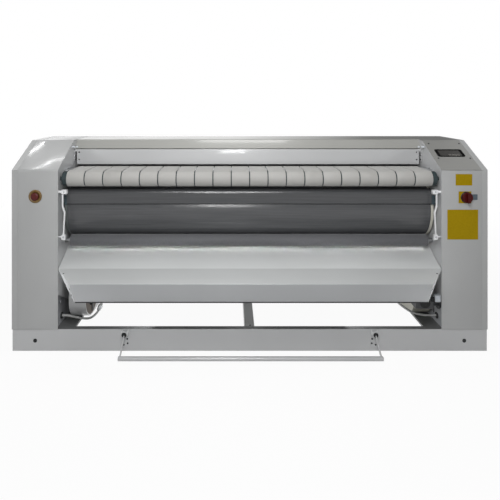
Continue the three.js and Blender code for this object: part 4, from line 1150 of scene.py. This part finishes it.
floor_material = bpy.data.materials.new("studio_floor")
floor_material.use_nodes = True
tree = floor_material.node_tree
tree.nodes.clear()
pale = add(tree, "ShaderNodeBsdfDiffuse", {"Color": linear("#c8c8c8")})
glow = add(tree, "ShaderNodeEmission", {"Strength": 1.0})
away = add(tree, "ShaderNodeVectorMath", {0: add(tree, "ShaderNodeTexCoord").outputs["Object"]},
           operation="LENGTH").outputs["Value"]
SHADE_END, WHITE_START, LEAST_GLOW = 1.8, 4.5, 0.95  # metres from the middle, and the glow inside them
share = add(tree, "ShaderNodeMapRange", {0: away, 1: SHADE_END, 2: WHITE_START, 3: LEAST_GLOW, 4: 1.0},
            interpolation_type="SMOOTHSTEP")
amount = add(tree, "ShaderNodeMath", {0: shown_rays(tree), 1: share}, operation="MULTIPLY")
mix = add(tree, "ShaderNodeMixShader", {0: amount, 1: pale, 2: glow})
add(tree, "ShaderNodeOutputMaterial", {"Surface": mix})
FLOOR_HALF = 30  # metres
ground = bpy.data.meshes.new("floor")
corners = [(x * FLOOR_HALF, y * FLOOR_HALF, 0) for x, y in ((-1, -1), (1, -1), (1, 1), (-1, 1))]
ground.from_pydata(corners, [], [(0, 1, 2, 3)])
ground.materials.append(floor_material)
floor = bpy.data.objects.new("floor", ground)
bpy.context.scene.collection.objects.link(floor)
print("floor:", 2 * FLOOR_HALF, "m wide")

# %% [markdown]
# The slanted covers mirror the room behind the machine. That room is dark on the right, which keeps
# the control panel deeper than the left slant. The rear wall is brighter near the level, where the top
# and the tray mirror it. A picture of a studio could do the same, but these few ramps on the ray's
# direction say what they are for.

# %% Room
ROOM_LIGHT, ROOM_SHINE = 0.16, 0.65  # the room as light on the machine, and as seen in its reflections
DARK_SIDE, BRIGHT_WALL = 0.12, 2.1  # times the room's level
world = bpy.data.worlds.new("studio")
bpy.context.scene.world = world
world.use_nodes = True
tree = world.node_tree
tree.nodes.clear()
toward = add(tree, "ShaderNodeSeparateXYZ", {0: add(tree, "ShaderNodeNewGeometry").outputs["Incoming"]})
to_right = add(tree, "ShaderNodeMapRange", {0: toward.outputs[0], 1: 0.0, 2: -0.3})
to_back = add(tree, "ShaderNodeMapRange", {0: toward.outputs[1], 1: 0.1, 2: -0.3})
dark_side = add(tree, "ShaderNodeMath", {0: to_right, 1: to_back}, operation="MULTIPLY")
room = add(tree, "ShaderNodeMapRange", {0: dark_side, 3: 1.0, 4: DARK_SIDE})
near_level = add(tree, "ShaderNodeMapRange", {0: toward.outputs[2], 1: -0.3, 2: -0.12})
rear_wall = add(tree, "ShaderNodeMath", {0: near_level, 1: to_back}, operation="MULTIPLY")
wall_light = add(tree, "ShaderNodeMapRange", {0: rear_wall, 3: 1.0, 4: BRIGHT_WALL})
path = add(tree, "ShaderNodeLightPath")
level = add(tree, "ShaderNodeMapRange", {0: shown_rays(tree), 3: ROOM_LIGHT, 4: ROOM_SHINE})
shaded = add(tree, "ShaderNodeMath", {0: room, 1: level}, operation="MULTIPLY")
lit = add(tree, "ShaderNodeMath", {0: shaded, 1: wall_light}, operation="MULTIPLY")
strength = add(tree, "ShaderNodeMix", {0: path.outputs["Is Camera Ray"], 2: lit, 3: 1.0})
sky = add(tree, "ShaderNodeBackground", {"Color": (1, 1, 1, 1), "Strength": strength})
add(tree, "ShaderNodeOutputWorld", {"Surface": sky})
print("room:", ROOM_LIGHT, "as light,", ROOM_SHINE, "in reflections")

# %% [markdown]
# ## Lamps
# The big softboxes in front and overhead light the covers. Smooth dark sheet mirrors them, so each
# bright line or patch in the photograph asks for a lamp of its own, small and narrow, standing where
# the sheet would mirror it: the strip on the apron's bend and the patches on the slants. The tray's
# end plates and the gap over the tray get a narrow beam, as from a honeycomb grid, so that nothing
# round them is lit, and three weak lamps stand under the tray.

# %% Lamps
def softbox(name, place, target, width, height, power, beam=180):
    """An area lamp, in metres and watts, that faces its target: it tips by the arctangent of the level
    way over the fall, and turns by that of x over y. A beam under 180 degrees has a honeycomb grid."""
    lamp = bpy.data.lights.new(name, "AREA")
    lamp.shape, lamp.size, lamp.size_y, lamp.energy = "RECTANGLE", width, height, power
    lamp.spread = np.radians(beam)
    made = bpy.data.objects.new(name, lamp)
    bpy.context.scene.collection.objects.link(made)
    way = np.array(target, float) - np.array(place, float)
    made.location = place
    made.rotation_euler = (np.arctan2(np.hypot(way[0], way[1]), -way[2]), 0, np.arctan2(-way[0], way[1]))


lamps = (  # place and target, width and height in metres, power in watts, beam in degrees
    ("key_box", (-0.2, -2.42, 2.42), (0, 0, 0.7), 1.0, 0.6, 50),
    ("over_box", (0, -0.5, 3.4), (0, -0.3, 0.5), 1.4, 0.6, 22),
    ("low_box", (-0.2, -3.4, 1.35), (-0.1, 0, 0.75), 0.5, 0.3, 14),
    ("left_box", (-3.0, -2.2, 1.5), (-0.6, 0, 0.6), 1.2, 1.2, 7),
    ("right_box", (3.0, -2.2, 1.2), (0.6, 0, 0.5), 1.2, 1.2, 3),
    ("bend_strip", (-0.05, -1.8, 2.8), (0, -0.2, 0.9), 0.6, 0.1, 6),
    ("slant_patch_high", (-2.95, 1.57, 3.4), (-2.95, -0.1, 1.06), 0.55, 0.1, 5.0),
    ("slant_patch_low", (-1.60, 0.68, 3.4), (-1.60, -0.1, 1.06), 0.7, 0.05, 3.0),
    ("slant_streak_low", (-2.35, 0.64, 3.4), (-2.35, -0.1, 1.06), 1.1, 0.03, 5.0),
    ("tray_end_left", (-2.6, -0.9, 0.2), (-0.945, -0.345, 0.405), 0.05, 0.05, 0.1, 11),
    ("tray_end_right", (2.6, -0.9, 0.2), (0.945, -0.345, 0.405), 0.05, 0.05, 0.1, 11),
    ("return_strip", (0, -1.3, 0.508), (0, -0.1, 0.523), 2.0, 0.008, 0.13, 1),
    ("panel_glow", (3.0, 1.6, 3.4), (1.2, -0.1, 1.06), 0.6, 0.3, 6),
    ("under_left", (-0.5, -0.12, 0.22), (-1.0, 0, 0.2), 0.2, 0.1, 0.8),
    ("under_right", (0.5, -0.12, 0.22), (1.0, 0, 0.2), 0.2, 0.1, 0.8),
    ("beam_fill", (0, 0.0, 0.36), (0, 0.05, 0.1), 0.1, 0.3, 0.25))
for lamp in lamps:
    softbox(*lamp)
print("lamps:", len(lamps))
